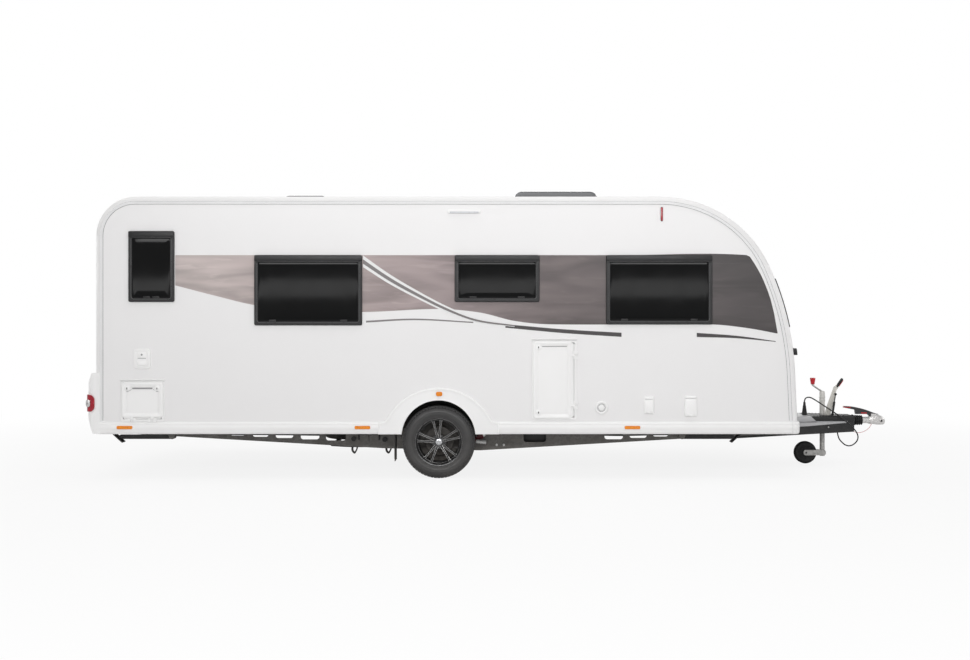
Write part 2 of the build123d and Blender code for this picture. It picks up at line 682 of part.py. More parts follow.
# Hatches, vents and lamps on the walls
HATCH_BEVEL = 4.0
VENT_OVER_ARCH = 63.0
VENT_STEP = 540.0
vent_sill = ARCH_TRIM_Z + ARCH_TRIM_R + VENT_OVER_ARCH - FLOOR_BOTTOM
HATCHES = [
    # side, from_rear, width, above the floor's underside, height, corner, proud
    ("right", 341.0, 146.0, 544.0, 177.0, 30.0, 14.0),
    ("right", 4787.0, 85.0, 155.0, 146.0, 10.0, 20.0),
    ("right", 5138.0, 108.0, 131.0, 178.0, 12.0, 20.0),
    ("right", 4359.0, 114.0, 150.0, 114.0, 56.9, 16.0),
    ("left", 2860.0, 500.0, vent_sill, 240.0, 16.0, 14.0),
    ("left", 2860.0, 500.0, vent_sill + VENT_STEP, 240.0, 16.0, 14.0),
]
hatches = []
for side, from_rear, width, above, height, corner, proud in HATCHES:
    x0 = X_REAR + from_rear
    z0 = FLOOR_BOTTOM + above
    plate = across(panel(x0, x0 + width, z0, z0 + height, corner), HALF_WIDTH, HALF_WIDTH + proud)
    plate = chamfer(plate.faces().sort_by(Axis.Y)[-1].edges(), HATCH_BEVEL)
    hatches.append(plate if side == "left" else right(plate))

MARKERS_FROM_REAR = [198.0, 2268.0, 4616.0]
MARKER_LENGTH = 136.0
MARKER_HEIGHT = 29.0
MARKER_PROUD = 9.0
ARCH_LAMP_LENGTH = 55.0
ARCH_LAMP_HEIGHT = 38.0
ARCH_LAMP_PROUD = 6.0
ARCH_LAMP_START = -21.0
markers = []
z_marker = SKIRT_BOTTOM + 45.0
y_marker = HALF_WIDTH + SKIRT_PROUD
for from_rear in MARKERS_FROM_REAR:
    x0 = X_REAR + from_rear
    form = panel(x0, x0 + MARKER_LENGTH, z_marker, z_marker + MARKER_HEIGHT, 10.0)
    lamp = across(form, y_marker, y_marker + MARKER_PROUD)
    markers += [lamp, right(lamp)]
x0 = X_AXLE + ARCH_LAMP_START
z0 = ARCH_TRIM_Z + ARCH_TRIM_R - 71.0
y_lamp = HALF_WIDTH + ARCH_PROUD
form = panel(x0, x0 + ARCH_LAMP_LENGTH, z0, z0 + ARCH_LAMP_HEIGHT, 14.0)
arch_lamp = across(form, y_lamp, y_lamp + ARCH_LAMP_PROUD)
markers += [arch_lamp, right(arch_lamp)]

# Grab handles: black loops at the rear corners and low on the front corners
GRIP_Y = HALF_WIDTH - 212.0
GRIP_T = 34.0
GRIP_PROUD = 42.0
GRIP_HOLLOW = 27.0
GRIP_Z0 = 1013.0
GRIP_Z1 = 1223.0
GRIP_FOOT = 27.0
FRONT_GRIP_Z0 = 1078.0
FRONT_GRIP_Z1 = 1138.0
grip = block(X_REAR - GRIP_PROUD, X_REAR, GRIP_Y, GRIP_Y + GRIP_T, GRIP_Z0, GRIP_Z1)
hand = block(X_REAR - GRIP_HOLLOW, X_REAR + 1, 0, FAR, GRIP_Z0 + GRIP_FOOT, GRIP_Z1 - GRIP_FOOT)
grip = fillet((grip - hand).edges().filter_by(Axis.Y).group_by(Axis.X)[0], 12.0)
bar = along(panel(GRIP_Y - 160, GRIP_Y + 90, FRONT_GRIP_Z0, FRONT_GRIP_Z1, 28.0), X_MID, X_NOSE)
gap = along(panel(GRIP_Y - 120, GRIP_Y + 50, FRONT_GRIP_Z0 - 18, FRONT_GRIP_Z1 + 18, 20.0), X_MID, X_NOSE)
front_grip = (front_band(-GRIP_PROUD, 0.0) & bar) - (front_band(-GRIP_HOLLOW, 1.0) & gap)
handles = [grip, right(grip), front_grip, right(front_grip)]

# Chassis: tapered rails with lightening holes, deepest at the axle
RAIL_FOOT = [
    # from_rear, depth below the floor
    (250.0, 66.0),
    (AXLE_FROM_REAR - 517.0, 194.0),
    (AXLE_FROM_REAR + 363.0, 213.0),
    (BODY_LENGTH - 676.0, 86.0),
    (BODY_LENGTH - 336.0, 72.0),
]
RAIL_HOLES = [
    # from_rear, width, depth below the floor
    (1084.0, 142.0, 78.0),
    (1289.0, 147.0, 90.0),
    (1499.0, 160.0, 101.0),
    (1727.0, 169.0, 113.0),
    (1957.0, 181.0, 123.0),
    (3752.0, 204.0, 137.0),
    (4488.0, 167.0, 112.0),
    (4715.0, 157.0, 100.0),
    (4926.0, 143.0, 87.0),
]
RAIL_HOLE_TOP = 18.0
RAIL_HOLE_CORNER = 24.0
RAIL_IN = RAIL_Y - RAIL_FLANGE
foot = [(X_REAR + d, FLOOR_BOTTOM - z) for d, z in RAIL_FOOT]
x_rail0 = foot[0][0]
x_rail1 = foot[-1][0]
web = poly(*foot, (x_rail1, FLOOR_BOTTOM), (x_rail0, FLOOR_BOTTOM))
for from_rear, width, depth in RAIL_HOLES:
    x0 = X_REAR + from_rear
    web -= panel(x0, x0 + width, FLOOR_BOTTOM - depth, FLOOR_BOTTOM - RAIL_HOLE_TOP, RAIL_HOLE_CORNER)
rail = across(web, RAIL_Y - RAIL_T, RAIL_Y)
lip = poly(*foot, *[(x, z + RAIL_T) for x, z in reversed(foot)])
rail += across(lip, RAIL_IN, RAIL_Y)
rail += block(x_rail0, x_rail1, RAIL_IN, RAIL_Y, FLOOR_BOTTOM - RAIL_T, FLOOR_BOTTOM)
x_tube = X_AXLE + ARM_REACH
z_tube = TYRE_R + ARM_RISE
rail -= disc_y(x_tube, z_tube, AXLE_TUBE_R, 0, FAR)

# Axle: cross tube, trailing arms with stub axles and brake plates
axle_end = WHEEL_Y - AXLE_END_INSET
axle = disc_y(x_tube, z_tube, AXLE_TUBE_R, -axle_end, axle_end)
arm_y = axle_end + ARM_T
arm = disc_y(x_tube, z_tube, ARM_EYE_R, axle_end, arm_y) + disc_y(X_AXLE, TYRE_R, ARM_TOE_R, axle_end, arm_y)
arm_web = poly(
    (x_tube, z_tube + ARM_EYE_R - 6),
    (x_tube, z_tube - ARM_EYE_R + 6),
    (X_AXLE, TYRE_R - ARM_TOE_R + 6),
    (X_AXLE, TYRE_R + ARM_TOE_R - 6),
)
arm += across(arm_web, axle_end, arm_y)
arm += disc_y(X_AXLE, TYRE_R, DRUM_R + 4, arm_y, arm_y + BRAKE_PLATE_T)
arm += disc_y(X_AXLE, TYRE_R, STUB_R, arm_y, WHEEL_Y + 14)
drum_y = arm_y + 2 * BRAKE_PLATE_T
drum = disc_y(X_AXLE, TYRE_R, DRUM_R, drum_y, drum_y + DRUM_DEPTH)
drum += disc_y(X_AXLE, TYRE_R, DRUM_NECK_R, drum_y + DRUM_DEPTH, WHEEL_Y + 30)
drum -= disc_y(X_AXLE, TYRE_R, STUB_R + RUN_FIT, 0, WHEEL_Y + 18)

# Road wheel: alloy rim with five pairs of spokes, plain tyre body


def round_y(points):
    """Ring turned about the left wheel's own line from radius and offset pairs."""
    turned = revolve(Plane.XY * poly(*points), axis=Axis.Y, revolution_arc=360)
    return Pos(X_AXLE, WHEEL_Y, TYRE_R) * turned


half_w = TYRE_WIDTH / 2
TYRE_SHAPE = [
    # radius, distance in from the sidewall
    (RIM_R - 4, 16.0),
    (RIM_R + 38, 0.0),
    (RIM_R + 68, 1.0),
    (TYRE_R - 14, 13.0),
    (TYRE_R - 3, 28.0),
    (TYRE_R, 50.0),
]
tyre_outer = [(r, half_w - d) for r, d in TYRE_SHAPE]
tyre_inner = [(r, -y) for r, y in reversed(tyre_outer)]
tyre = round_y(tyre_inner[::-1] + tyre_outer[::-1] + [(BEAD_R, half_w - 22), (BEAD_R, 22 - half_w)])
RIM_SHAPE = [
    # radius, offset from the middle of the tyre
    (BARREL_R, 14 - half_w),
    (BEAD_R, 14 - half_w),
    (BEAD_R, half_w - 22),
    (RIM_R - 4, half_w - 16),
    (RIM_R, half_w - 14),
    (RIM_R, half_w - 10),
    (RIM_R - 10, half_w - 9),
    (BARREL_R + 4, half_w - 18),
    (BARREL_R, half_w - 40),
]
HUB_BACK = 30.0
HUB_FACE = 68.0
HUB_BEVEL = 12.0
rim = round_y(RIM_SHAPE)
rim += round_y([
    (HUB_BORE_R, HUB_BACK),
    (HUB_R, HUB_BACK),
    (HUB_R, HUB_FACE - 6),
    (HUB_R - HUB_BEVEL, HUB_FACE),
    (HUB_BORE_R, HUB_FACE),
])
spoke = poly((60, -15), (BARREL_R + 4, -12), (BARREL_R + 4, 12), (60, 15))
for k in range(SPOKE_PAIRS):
    for lean in (-SPOKE_LEAN, SPOKE_LEAN):
        angle = SPOKE_START + 360.0 / SPOKE_PAIRS * k + lean
        form = Pos(X_AXLE, TYRE_R) * (Rot(0, 0, angle) * spoke)
        rim += across(form, WHEEL_Y + HUB_BACK + 8, WHEEL_Y + HUB_FACE - 2)

# Cross members, and outriggers with the ears that carry the corner steadies
BEARERS_FROM_REAR = [420.0, 1600.0, 4300.0]
STEADIES = [
    # name, pivot's distance from the rear wall, way the leg points
    ("rear", 610.0, -1.0),
    ("front", 5160.0, 1.0),
]
bearers = []
for from_rear in BEARERS_FROM_REAR:
    x = X_REAR + from_rear
    half = BEARER_WIDTH / 2
    bearers.append(block(x - half, x + half, -RAIL_IN, RAIL_IN, FLOOR_BOTTOM - BEARER_HEIGHT, FLOOR_BOTTOM))
leg_y0 = STEADY_Y - STEADY_W / 2
leg_y1 = STEADY_Y + STEADY_W / 2
ear_y0 = leg_y0 - STEADY_GAP
ear_y1 = leg_y1 + STEADY_GAP
ear_top = FLOOR_BOTTOM - PLATE_T
ear_foot = STEADY_PIVOT_Z - 16.0
steadies = {}
for name, from_rear, way in STEADIES:
    x = X_REAR + from_rear
    plate = block(x - 60, x + 60, RAIL_Y, ear_y1 + EAR_T, ear_top, FLOOR_BOTTOM)
    ear = poly((x - 45, ear_top), (x + 45, ear_top), (x + 18, ear_foot), (x - 18, ear_foot))
    plate += across(ear, ear_y1, ear_y1 + EAR_T) + across(ear, ear_y0 - EAR_T, ear_y0)
    plate += disc_y(x, STEADY_PIVOT_Z, STEADY_PIN_R, ear_y0 - EAR_T, ear_y1 + EAR_T)
    bearers += [plate, right(plate)]
    x0, x1 = sorted((x, x + way * STEADY_LENGTH))
    z0 = STEADY_PIVOT_Z - STEADY_HALF_HEIGHT
    z1 = STEADY_PIVOT_Z + STEADY_HALF_HEIGHT
    leg = disc_y(x, STEADY_PIVOT_Z, STEADY_EYE_R, leg_y0, leg_y1) + block(x0, x1, leg_y0, leg_y1, z0, z1)
    leg -= block(x0 + 50, x1 - 60, leg_y0 + STEADY_SKIN, leg_y1 - STEADY_SKIN, z0 - 12, z1 - STEADY_SKIN)
    leg -= disc_y(x, STEADY_PIVOT_Z, STEADY_PIN_R + RUN_FIT, 0, FAR)
    foot_place = Pos(x + way * STEADY_LENGTH, STEADY_Y, STEADY_PIVOT_Z) * Rot(0, -way * STEADY_DROP, 0)
    steadies[name] = leg + foot_place * Pos(0, 0, -PAD_DROP) * Box(PAD_LENGTH, PAD_WIDTH, PAD_T)

# Drawbars: two legs that close on the overrun housing
x_house0 = X_NOSE - HOUSING_FROM_NOSE
x_house1 = x_house0 + HOUSING_LENGTH
x_collar = x_house1 - COLLAR_LENGTH
bar_a = Vector(X_FRONT - 560.0, RAIL_Y - RAIL_T - 20)
bar_b = Vector(x_house1 - 30.0, HOUSING_HALF + 12)
run = (bar_b - bar_a).normalized()
step = Vector(-run.Y, run.X) * (DRAWBAR_W / 2)
ends = [bar_a - run * 60, bar_b + run * 60]
corners = [ends[0] + step, ends[1] + step, ends[1] - step, ends[0] - step]
drawbar = upward(poly(*[(v.X, v.Y) for v in corners]), DRAWBAR_Z0, DRAWBAR_Z1)
drawbar &= block(X_FRONT - DRAWBAR_TAIL, x_collar - 1, HOUSING_HALF, RAIL_Y - RAIL_T, 0, FAR)
rail -= block(X_FRONT - DRAWBAR_TAIL - 100, X_NOSE, 0, RAIL_Y - RAIL_T, 0, FAR)

# Overrun housing with its front collar, jockey clamp behind it
housing_top = HITCH_Z + SHAFT_R + HOUSING_OVER_SHAFT
housing = block(x_house0, x_house1, -HOUSING_HALF, HOUSING_HALF, HOUSING_FOOT, housing_top)
housing += rod((x_collar, 0, HITCH_Z), (x_house1, 0, HITCH_Z), GAITER_R + 1)
housing -= rod((x_house0 + 20, 0, HITCH_Z), (x_house1 + CUT, 0, HITCH_Z), SHAFT_R + RUN_FIT)
x_jockey = X_NOSE - JOCKEY_FROM_NOSE
clamp = block(x_jockey - 46, x_house0, -CLAMP_HALF, CLAMP_HALF, CLAMP_FOOT, DRAWBAR_Z1)
clamp = fillet(clamp.edges().filter_by(Axis.Z).group_by(Axis.X)[0], 30.0)
clamp -= post(x_jockey, 0, JOCKEY_TUBE_R + CLAMP_FIT, 0, FAR)

# Shaft, gaiter and coupling head with its ball socket
x_head = X_NOSE - HEAD_LENGTH
shaft = rod((x_house0 + 24, 0, HITCH_Z), (x_head + HEAD_SLEEVE, 0, HITCH_Z), SHAFT_R)
pitch = GAITER_LENGTH / GAITER_RIBS
ridge = [(x_house1, SHAFT_R + NEAR)]
for k in range(GAITER_RIBS):
    ridge.append((x_house1 + k * pitch, GAITER_R - GAITER_RIB_DEPTH))
    ridge.append((x_house1 + (k + 0.5) * pitch, GAITER_R))
ridge.append((x_house1 + GAITER_LENGTH, GAITER_R - GAITER_RIB_DEPTH))
ridge.append((x_house1 + GAITER_LENGTH, SHAFT_R + NEAR))
gaiter = Pos(0, 0, HITCH_Z) * revolve(Plane.XZ * poly(*ridge), axis=Axis.X, revolution_arc=360)

x_ball = X_NOSE - BALL_FROM_NOSE
HEAD_SHAPE = [
    # behind the nose, height
    (HEAD_LENGTH, 384.0),
    (HEAD_LENGTH, 458.0),
    (118.0, 462.0),
    (92.0, 474.0),
    (46.0, 468.0),
    (14.0, 446.0),
    (0.0, 424.0),
    (2.0, 396.0),
    (16.0, 378.0),
    (84.0, 378.0),
    (108.0, 388.0),
]
head = across(poly(*[(X_NOSE - b, z) for b, z in HEAD_SHAPE]), -HEAD_HALF, HEAD_HALF)
head -= rod((x_head - CUT, 0, HITCH_Z), (x_head + HEAD_SLEEVE, 0, HITCH_Z), SHAFT_R)
head -= post(x_ball, 0, BALL_R, 300.0, BALL_Z) + Pos(x_ball, 0, BALL_Z) * Sphere(BALL_R)
head += disc_y(x_ball, BALL_Z, BALL_BOSS_R, HEAD_HALF, HEAD_HALF + BALL_BOSS_PROUD)
head += disc_y(x_ball, BALL_Z, BALL_BOSS_R, -HEAD_HALF - BALL_BOSS_PROUD, -HEAD_HALF)
HANDLE_SHAPE = [
    # behind the nose, height: top edge forward to the pivot, then the underside back
    (400.0, 556.0),
    (300.0, 548.0),
    (180.0, 520.0),
    (112.0, 490.0),
    (60.0, 478.0),
    (60.0, 471.5),
    (92.0, 474.0),
    (118.0, 462.0),
    (150.0, 459.0),
    (175.0, 480.0),
    (290.0, 478.0),
    (292.0, 520.0),
    (395.0, 538.0),
]
handle = across(poly(*[(X_NOSE - b, z) for b, z in HANDLE_SHAPE]), -HANDLE_HALF, HANDLE_HALF)

# Hitch cover over the drawbars
COVER_REAR_GAP = 22.0
cover_x0 = X_FRONT + COVER_REAR_GAP
cover_x1 = x_collar - 1


def cover_form(d, z0, z1):
    """The cover's plan, moved in by d, between two heights."""
    rear = COVER_HALF_REAR - d
    nose = COVER_HALF_FRONT - d
    x0 = cover_x0 + d
    x1 = cover_x1 - d
    return upward(poly((x0, rear), (x1, nose), (x1, -nose), (x0, -rear)), z0, z1)


cover = cover_form(0, DRAWBAR_Z1, COVER_TOP)
cover = fillet(cover.faces().sort_by(Axis.Z)[-1].edges(), COVER_EDGE_R)
cover -= cover_form(COVER_RIM, 0, COVER_TOP - COVER_WALL)
notch = HOUSING_HALF + COVER_FIT
cover -= block(x_house0 - COVER_FIT, X_NOSE, -notch, notch, 0, housing_top + 2)
cover -= post(x_jockey, 0, JOCKEY_TUBE_R + 10, 0, FAR)
x_lever = x_jockey + 18.0
cover -= block(x_lever - 30, x_lever + 60, LEVER_Y0 - 8, LEVER_Y1 + 6, 0, FAR)

# Parking brake lever beside the jockey tube
LEVER_SHAPE = [
    # ahead of the jockey tube, height
    (0.0, 360.0),
    (42.0, 360.0),
    (50.0, 470.0),
    (74.0, 560.0),
    (124.0, 722.0),
    (190.0, 806.0),
    (176.0, 832.0),
    (158.0, 826.0),
    (100.0, 752.0),
    (36.0, 560.0),
    (8.0, 460.0),
]
lever = across(poly(*[(x_jockey + a, z) for a, z in LEVER_SHAPE]), LEVER_Y0, LEVER_Y1)

# Jockey wheel: sliding tube with crank, castoring fork, wheel
fork_z = JOCKEY_R + FORK_HALF_HEIGHT
crank_z = JOCKEY_TOP + 8.0
knob_z = JOCKEY_TOP + 80.0
x_knob = x_jockey - CRANK_REACH
tube = post(x_jockey, 0, JOCKEY_TUBE_R, fork_z + 1.0, JOCKEY_TOP)
tube += post(x_jockey, 0, CRANK_R + 1, JOCKEY_TOP - 5, crank_z + CRANK_R)
tube += rod((x_jockey, 0, crank_z), (x_knob, 0, knob_z - CRANK_R), CRANK_R)
tube += post(x_knob, 0, CRANK_R, knob_z - 14, knob_z + 2)
tube += Pos(x_knob, 0, knob_z + KNOB_LENGTH / 2) * Cone(KNOB_R0, KNOB_R1, KNOB_LENGTH)
tube -= post(x_jockey, 0, JOCKEY_STEM_R + RUN_FIT, 0, fork_z + 60)
x_wheel = x_jockey - JOCKEY_TRAIL
fork_in = JOCKEY_TYRE_W / 2 + FORK_SIDE_GAP
fork_out = fork_in + FORK_T
fork_z0 = JOCKEY_R - FORK_HALF_HEIGHT
fork = post(x_jockey, 0, JOCKEY_TUBE_R, fork_z - 60, fork_z)
fork += post(x_jockey, 0, JOCKEY_STEM_R, fork_z, fork_z + 55)
cheek = panel(x_wheel - JOCKEY_TUBE_R, x_jockey + JOCKEY_TUBE_R, fork_z0, fork_z, 20.0)
fork += across(cheek, fork_in, fork_out) + across(cheek, -fork_out, -fork_in)
fork += block(x_jockey - 52, x_jockey + 10, -fork_out, fork_out, fork_z0, fork_z)
fork += disc_y(x_wheel, JOCKEY_R, JOCKEY_PIN_R, -fork_out, fork_out)
jockey_wheel = disc_y(x_wheel, JOCKEY_R, JOCKEY_R, -JOCKEY_TYRE_W / 2, JOCKEY_TYRE_W / 2)
jockey_wheel = fillet(jockey_wheel.edges(), 18.0)
jockey_wheel -= disc_y(x_wheel, JOCKEY_R, JOCKEY_PIN_R + RUN_FIT, -FAR, FAR)

# Spare wheel under the floor, in a carrier of two bars
spare_place = Pos(X_REAR + SPARE_FROM_REAR, 0, FLOOR_BOTTOM - SPARE_DROP)
spare = Cylinder(SPARE_R, SPARE_WIDTH) - Cylinder(RIM_R - 16, SPARE_WIDTH + 70)
spare = fillet(spare.edges().filter_by(GeomType.CIRCLE).sort_by(SortBy.RADIUS)[-2:], SPARE_EDGE_R)
spare += Cylinder(BEAD_R, SPARE_DISC_T) - Cylinder(SPARE_HOLE_R, 3 * SPARE_DISC_T)
spare = spare_place * spare
carrier = []
for d in (-CARRIER_SPREAD, CARRIER_SPREAD):
    bar = Box(CARRIER_BAR_W, 2 * RAIL_IN, CARRIER_BAR_T)
    carrier.append(spare_place * Pos(d, 0, -(SPARE_WIDTH + CARRIER_BAR_T) / 2) * bar)

# Cables: straight runs joined by tangent arcs


def cord(route, d):
    """Round cord along a route, each turn as wide as its shorter run allows."""
    points = [Vector(X_NOSE - back, y, z) for back, y, z in route]
    radii = []
    for a, b, c in zip(points, points[1:], points[2:]):
        turn = math.radians((b - a).get_angle(c - b))
        radii.append(0.45 * min((b - a).length, (c - b).length) / math.tan(turn / 2))
    start = Plane(points[0], z_dir=points[1] - points[0])
    return sweep(start * Circle(d / 2), path=FilletPolyline(*points, radius=radii))


CABLE_FOOT_BACK = 506.0
CABLE_FOOT_OUT = 14.18          # outside the middle line of a drawbar
share = (bar_b.X - X_NOSE + CABLE_FOOT_BACK) / (bar_b.X - bar_a.X)
y_foot = -(bar_b.Y + share * (bar_a.Y - bar_b.Y)) - CABLE_FOOT_OUT
CABLE_FALL = [
    # behind the nose, across, height
    (800.0, -75.0, PLUG_TOP + 0.6),
    (798.0, -75.0, 638.0),
    (752.0, -86.0, 652.0),
    (690.0, -101.0, 614.0),
    (621.0, -120.0, 566.0),
    (534.0, -146.0, 506.0),
]
CABLE_LOOP = [
    # behind the nose, inside the foot, height
    (447.0, -14.0, 440.0),
    (373.0, -14.0, 374.0),
    (323.0, -8.0, 318.0),
    (305.0, -2.0, 268.0),
    (323.0, 3.0, 219.0),
    (373.0, 6.0, 184.0),
    (423.0, 6.0, 188.0),
    (465.0, 4.0, 222.0),
    (497.0, 1.0, 262.0),
    (CABLE_FOOT_BACK, 0.0, DRAWBAR_Z0 - 1.35),
]
CABLE_ROUTE = CABLE_FALL + [(back, y_foot + side, z) for back, side, z in CABLE_LOOP]
BREAK_ROUTE = [
    # behind the nose, across, height
    (322.0, -25.0, HOUSING_FOOT - 0.4),
    (319.0, -25.0, 316.0),
    (284.0, -25.0, 301.0),
    (248.0, -25.0, 299.0),
    (206.0, -25.0, 312.0),
    (168.0, -25.0, 336.0),
    (146.0, -25.0, 362.0),
    (137.0, -25.0, 384.0),
]
cable = cord(CABLE_ROUTE, CABLE_D)
breakaway = cord(BREAK_ROUTE, BREAK_D)
x_plug = X_NOSE - CABLE_ROUTE[0][0]
y_plug = CABLE_ROUTE[0][1]
plug = post(x_plug, y_plug, PLUG_R, COVER_TOP, PLUG_SHOULDER)
plug += post(x_plug, y_plug, PLUG_NECK_R, PLUG_SHOULDER, PLUG_TOP)

# Furniture that shows through the windows and the door
SEATS = [
    # from_rear, length, y0, y1, height
    (4680.0, 1330.0, -INNER, -INNER + 640.0, 400.0),
    (4680.0, 1330.0, INNER - 640.0, INNER, 400.0),
    (1120.0, 1320.0, -INNER + 60, 420.0, 420.0),
]
x_kitchen0 = X_AXLE + 60.0
x_kitchen1 = gas_spec[0] - 30.0
kitchen_y = KITCHEN_DEPTH - INNER
kitchen = block(x_kitchen0, x_kitchen1, -INNER, kitchen_y, FLOOR_TOP, KITCHEN_TOP)
kitchen -= block(
    x_kitchen0 + BOARD_T, x_kitchen1 - BOARD_T, -FAR, kitchen_y - BOARD_T, 0, KITCHEN_TOP - WORKTOP_T
)
arch_room = BOX_R + BOARD_T
kitchen -= block(X_AXLE, X_AXLE + arch_room, -FAR, BOX_DEPTH + 10 - INNER, 0, TYRE_R + arch_room)
plinths = []
cushions = []
for from_rear, length, y0, y1, height in SEATS:
    x0 = X_REAR + from_rear
    x1 = x0 + length
    z1 = FLOOR_TOP + height
    t = PLINTH_BOARD
    g = CUSHION_INSET
    plinths.append(block(x0, x1, y0, y1, FLOOR_TOP, z1) - block(x0 + t, x1 - t, y0 + t, y1 - t, 0, z1 - t))
    pad = block(x0 + g, x1 - g, y0 + g, y1 - g, z1, z1 + CUSHION_T)
    cushions.append(fillet(pad.edges(), CUSHION_EDGE_R))

# Pieces
save("floor_panel", floor)
save("left_side_wall", left_wall)
save("right_side_wall", right_wall)
save("roof_panel", roof_panel)
save("front_panel", front_panel)
save("rear_panel", rear_panel)
save("awning_rails", left_rail, right(left_rail))
save("side_skirts", left_skirt, right(left_skirt))
save("wheel_arch_trims", arch_trim, right(arch_trim))
save("wheel_boxes", wheel_box, right(wheel_box))
save("rear_bumper", bumper)
save("tail_lamps", left_lamp, right(left_lamp))
save("window_frames", *frames)
save("window_panes", *panes)
save("rooflight_rims", *light_rims)
save("rooflight_domes", *domes)
save("entrance_door_frame", door_frame)
save("entrance_door", door)
save("door_window_frame", door_window_frame)
save("door_window_pane", door_window_pane)
save("locker_boxes", right(gas_box), right(cassette_box))
save("gas_locker_door", right(gas_door))
save("cassette_locker_door", right(cassette_door))
save("wall_hatches", *hatches)
save("side_marker_lamps", *markers)
save("grab_handles", *handles)
save("chassis_rails", rail, right(rail))
save("cross_members", *bearers)
save("axle_tube", axle)
save("swing_arms", arm, right(arm))
save("left_brake_drum", drum)
save("right_brake_drum", right(drum))
save("left_rim", rim)
save("right_rim", right(rim))
save("left_tyre", tyre)
save("right_tyre", right(tyre))
save("rear_left_steady", steadies["rear"])
save("rear_right_steady", right(steadies["rear"]))
save("front_left_steady", steadies["front"])
save("front_right_steady", right(steadies["front"]))
save("left_drawbar", drawbar)
save("right_drawbar", right(drawbar))
save("overrun_housing", housing + clamp)
save("coupling_shaft", shaft)
save("shaft_gaiter", gaiter)
save("coupling_head", head)
save("coupling_handle", handle)
save("hitch_cover", cover)
save("parking_brake_lever", lever)
save("jockey_tube", tube)
save("jockey_fork", fork)
save("jockey_wheel", jockey_wheel)
save("spare_wheel", spare)
save("spare_carrier", *carrier)
save("supply_cable", cable)
save("cable_plug", plug)
save("breakaway_cable", breakaway)
save("furniture", kitchen, *plinths)
save("cushions", *cushions)
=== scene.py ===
import bmesh
import bpy
import math
from mathutils import Matrix, Vector


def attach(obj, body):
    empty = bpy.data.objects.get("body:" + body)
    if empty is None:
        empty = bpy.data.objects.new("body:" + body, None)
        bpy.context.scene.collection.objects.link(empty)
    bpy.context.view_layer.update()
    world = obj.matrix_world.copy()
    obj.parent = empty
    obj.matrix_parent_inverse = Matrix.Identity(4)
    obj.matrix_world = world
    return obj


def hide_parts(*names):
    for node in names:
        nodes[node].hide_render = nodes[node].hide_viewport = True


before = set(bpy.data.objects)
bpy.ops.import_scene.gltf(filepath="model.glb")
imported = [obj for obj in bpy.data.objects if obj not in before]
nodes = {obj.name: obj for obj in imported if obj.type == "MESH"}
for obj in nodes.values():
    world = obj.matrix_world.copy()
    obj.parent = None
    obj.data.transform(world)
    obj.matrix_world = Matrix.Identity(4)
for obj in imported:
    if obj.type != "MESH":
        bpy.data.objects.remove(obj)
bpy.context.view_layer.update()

# Studio: the caravan stands on a pale floor that runs out into a white background.
# Large soft boxes light it from above and all round, and a long low strip draws a band in the glass.
scene = bpy.context.scene
scene.view_settings.view_transform = "Standard"


def add(name, data):
    """Put a piece of the scene in place."""
    obj = bpy.data.objects.new(name, data)
    scene.collection.objects.link(obj)
    return obj


class Nodes:
    """Shorthand for wiring a node tree."""

    def __init__(self, tree):
        self.tree = tree

    def put(self, kind, **values):
        """New node with its settings, and its inputs by name or by number as i0, i1."""
        node = self.tree.nodes.new(kind)
        plain = {k: v for k, v in values.items() if hasattr(node, k)}
        for name, value in plain.items():
            setattr(node, name, value)
        for name, value in values.items():
            if name not in plain:
                place = int(name[1:]) if name[1:].isdigit() else name.replace("_", " ")
                self.feed(value, node.inputs[place])
        return node

    def feed(self, value, socket):
        """Set a socket to a plain value, or wire it to another socket."""
        if isinstance(value, bpy.types.NodeSocket):
            self.tree.links.new(value, socket)
        else:
            socket.default_value = value

    def sums(self, operation, *values):
        """Result of a math node on plain numbers or sockets."""
        node = self.put("ShaderNodeMath", operation=operation)
        for value, socket in zip(values, node.inputs):
            self.feed(value, socket)
        return node.outputs[0]

    def mix(self, factor, a, b):
        """Result of a colour mix node."""
        node = self.put("ShaderNodeMix", data_type="RGBA")
        self.feed(factor, node.inputs[0])
        self.feed(a, node.inputs[6])
        self.feed(b, node.inputs[7])
        return node.outputs[2]

    def span(self, value, a, b, c=0.0, d=1.0):
        """A value moved from one range to another with soft ends."""
        node = self.put("ShaderNodeMapRange", interpolation_type="SMOOTHSTEP")
        for number, socket in zip((value, a, b, c, d), node.inputs[:5]):
            self.feed(number, socket)
        return node.outputs[0]


def open_material(name):
    """A new material with only its output."""
    material = bpy.data.materials.new(name)
    material.use_nodes = True
    material.node_tree.nodes.clear()
    wires = Nodes(material.node_tree)
    return material, wires, wires.put("ShaderNodeOutputMaterial")


def boxes(name, *corners):
    """Mesh of plain boxes given by two corners each."""
    bm = bmesh.new()
    for low, high in corners:
        made = bmesh.ops.create_cube(bm, size=1.0)["verts"]
        for v in made:
            v.co = [low[k] if v.co[k] < 0 else high[k] for k in range(3)]
    mesh = bpy.data.meshes.new(name)
    bm.to_mesh(mesh)
    bm.free()
    return mesh


def background_ray(w):
    """One for rays that should find the white background."""
    path = w.put("ShaderNodeLightPath")
    return w.sums("MAXIMUM", path.outputs["Is Camera Ray"], path.outputs["Is Transmission Ray"])


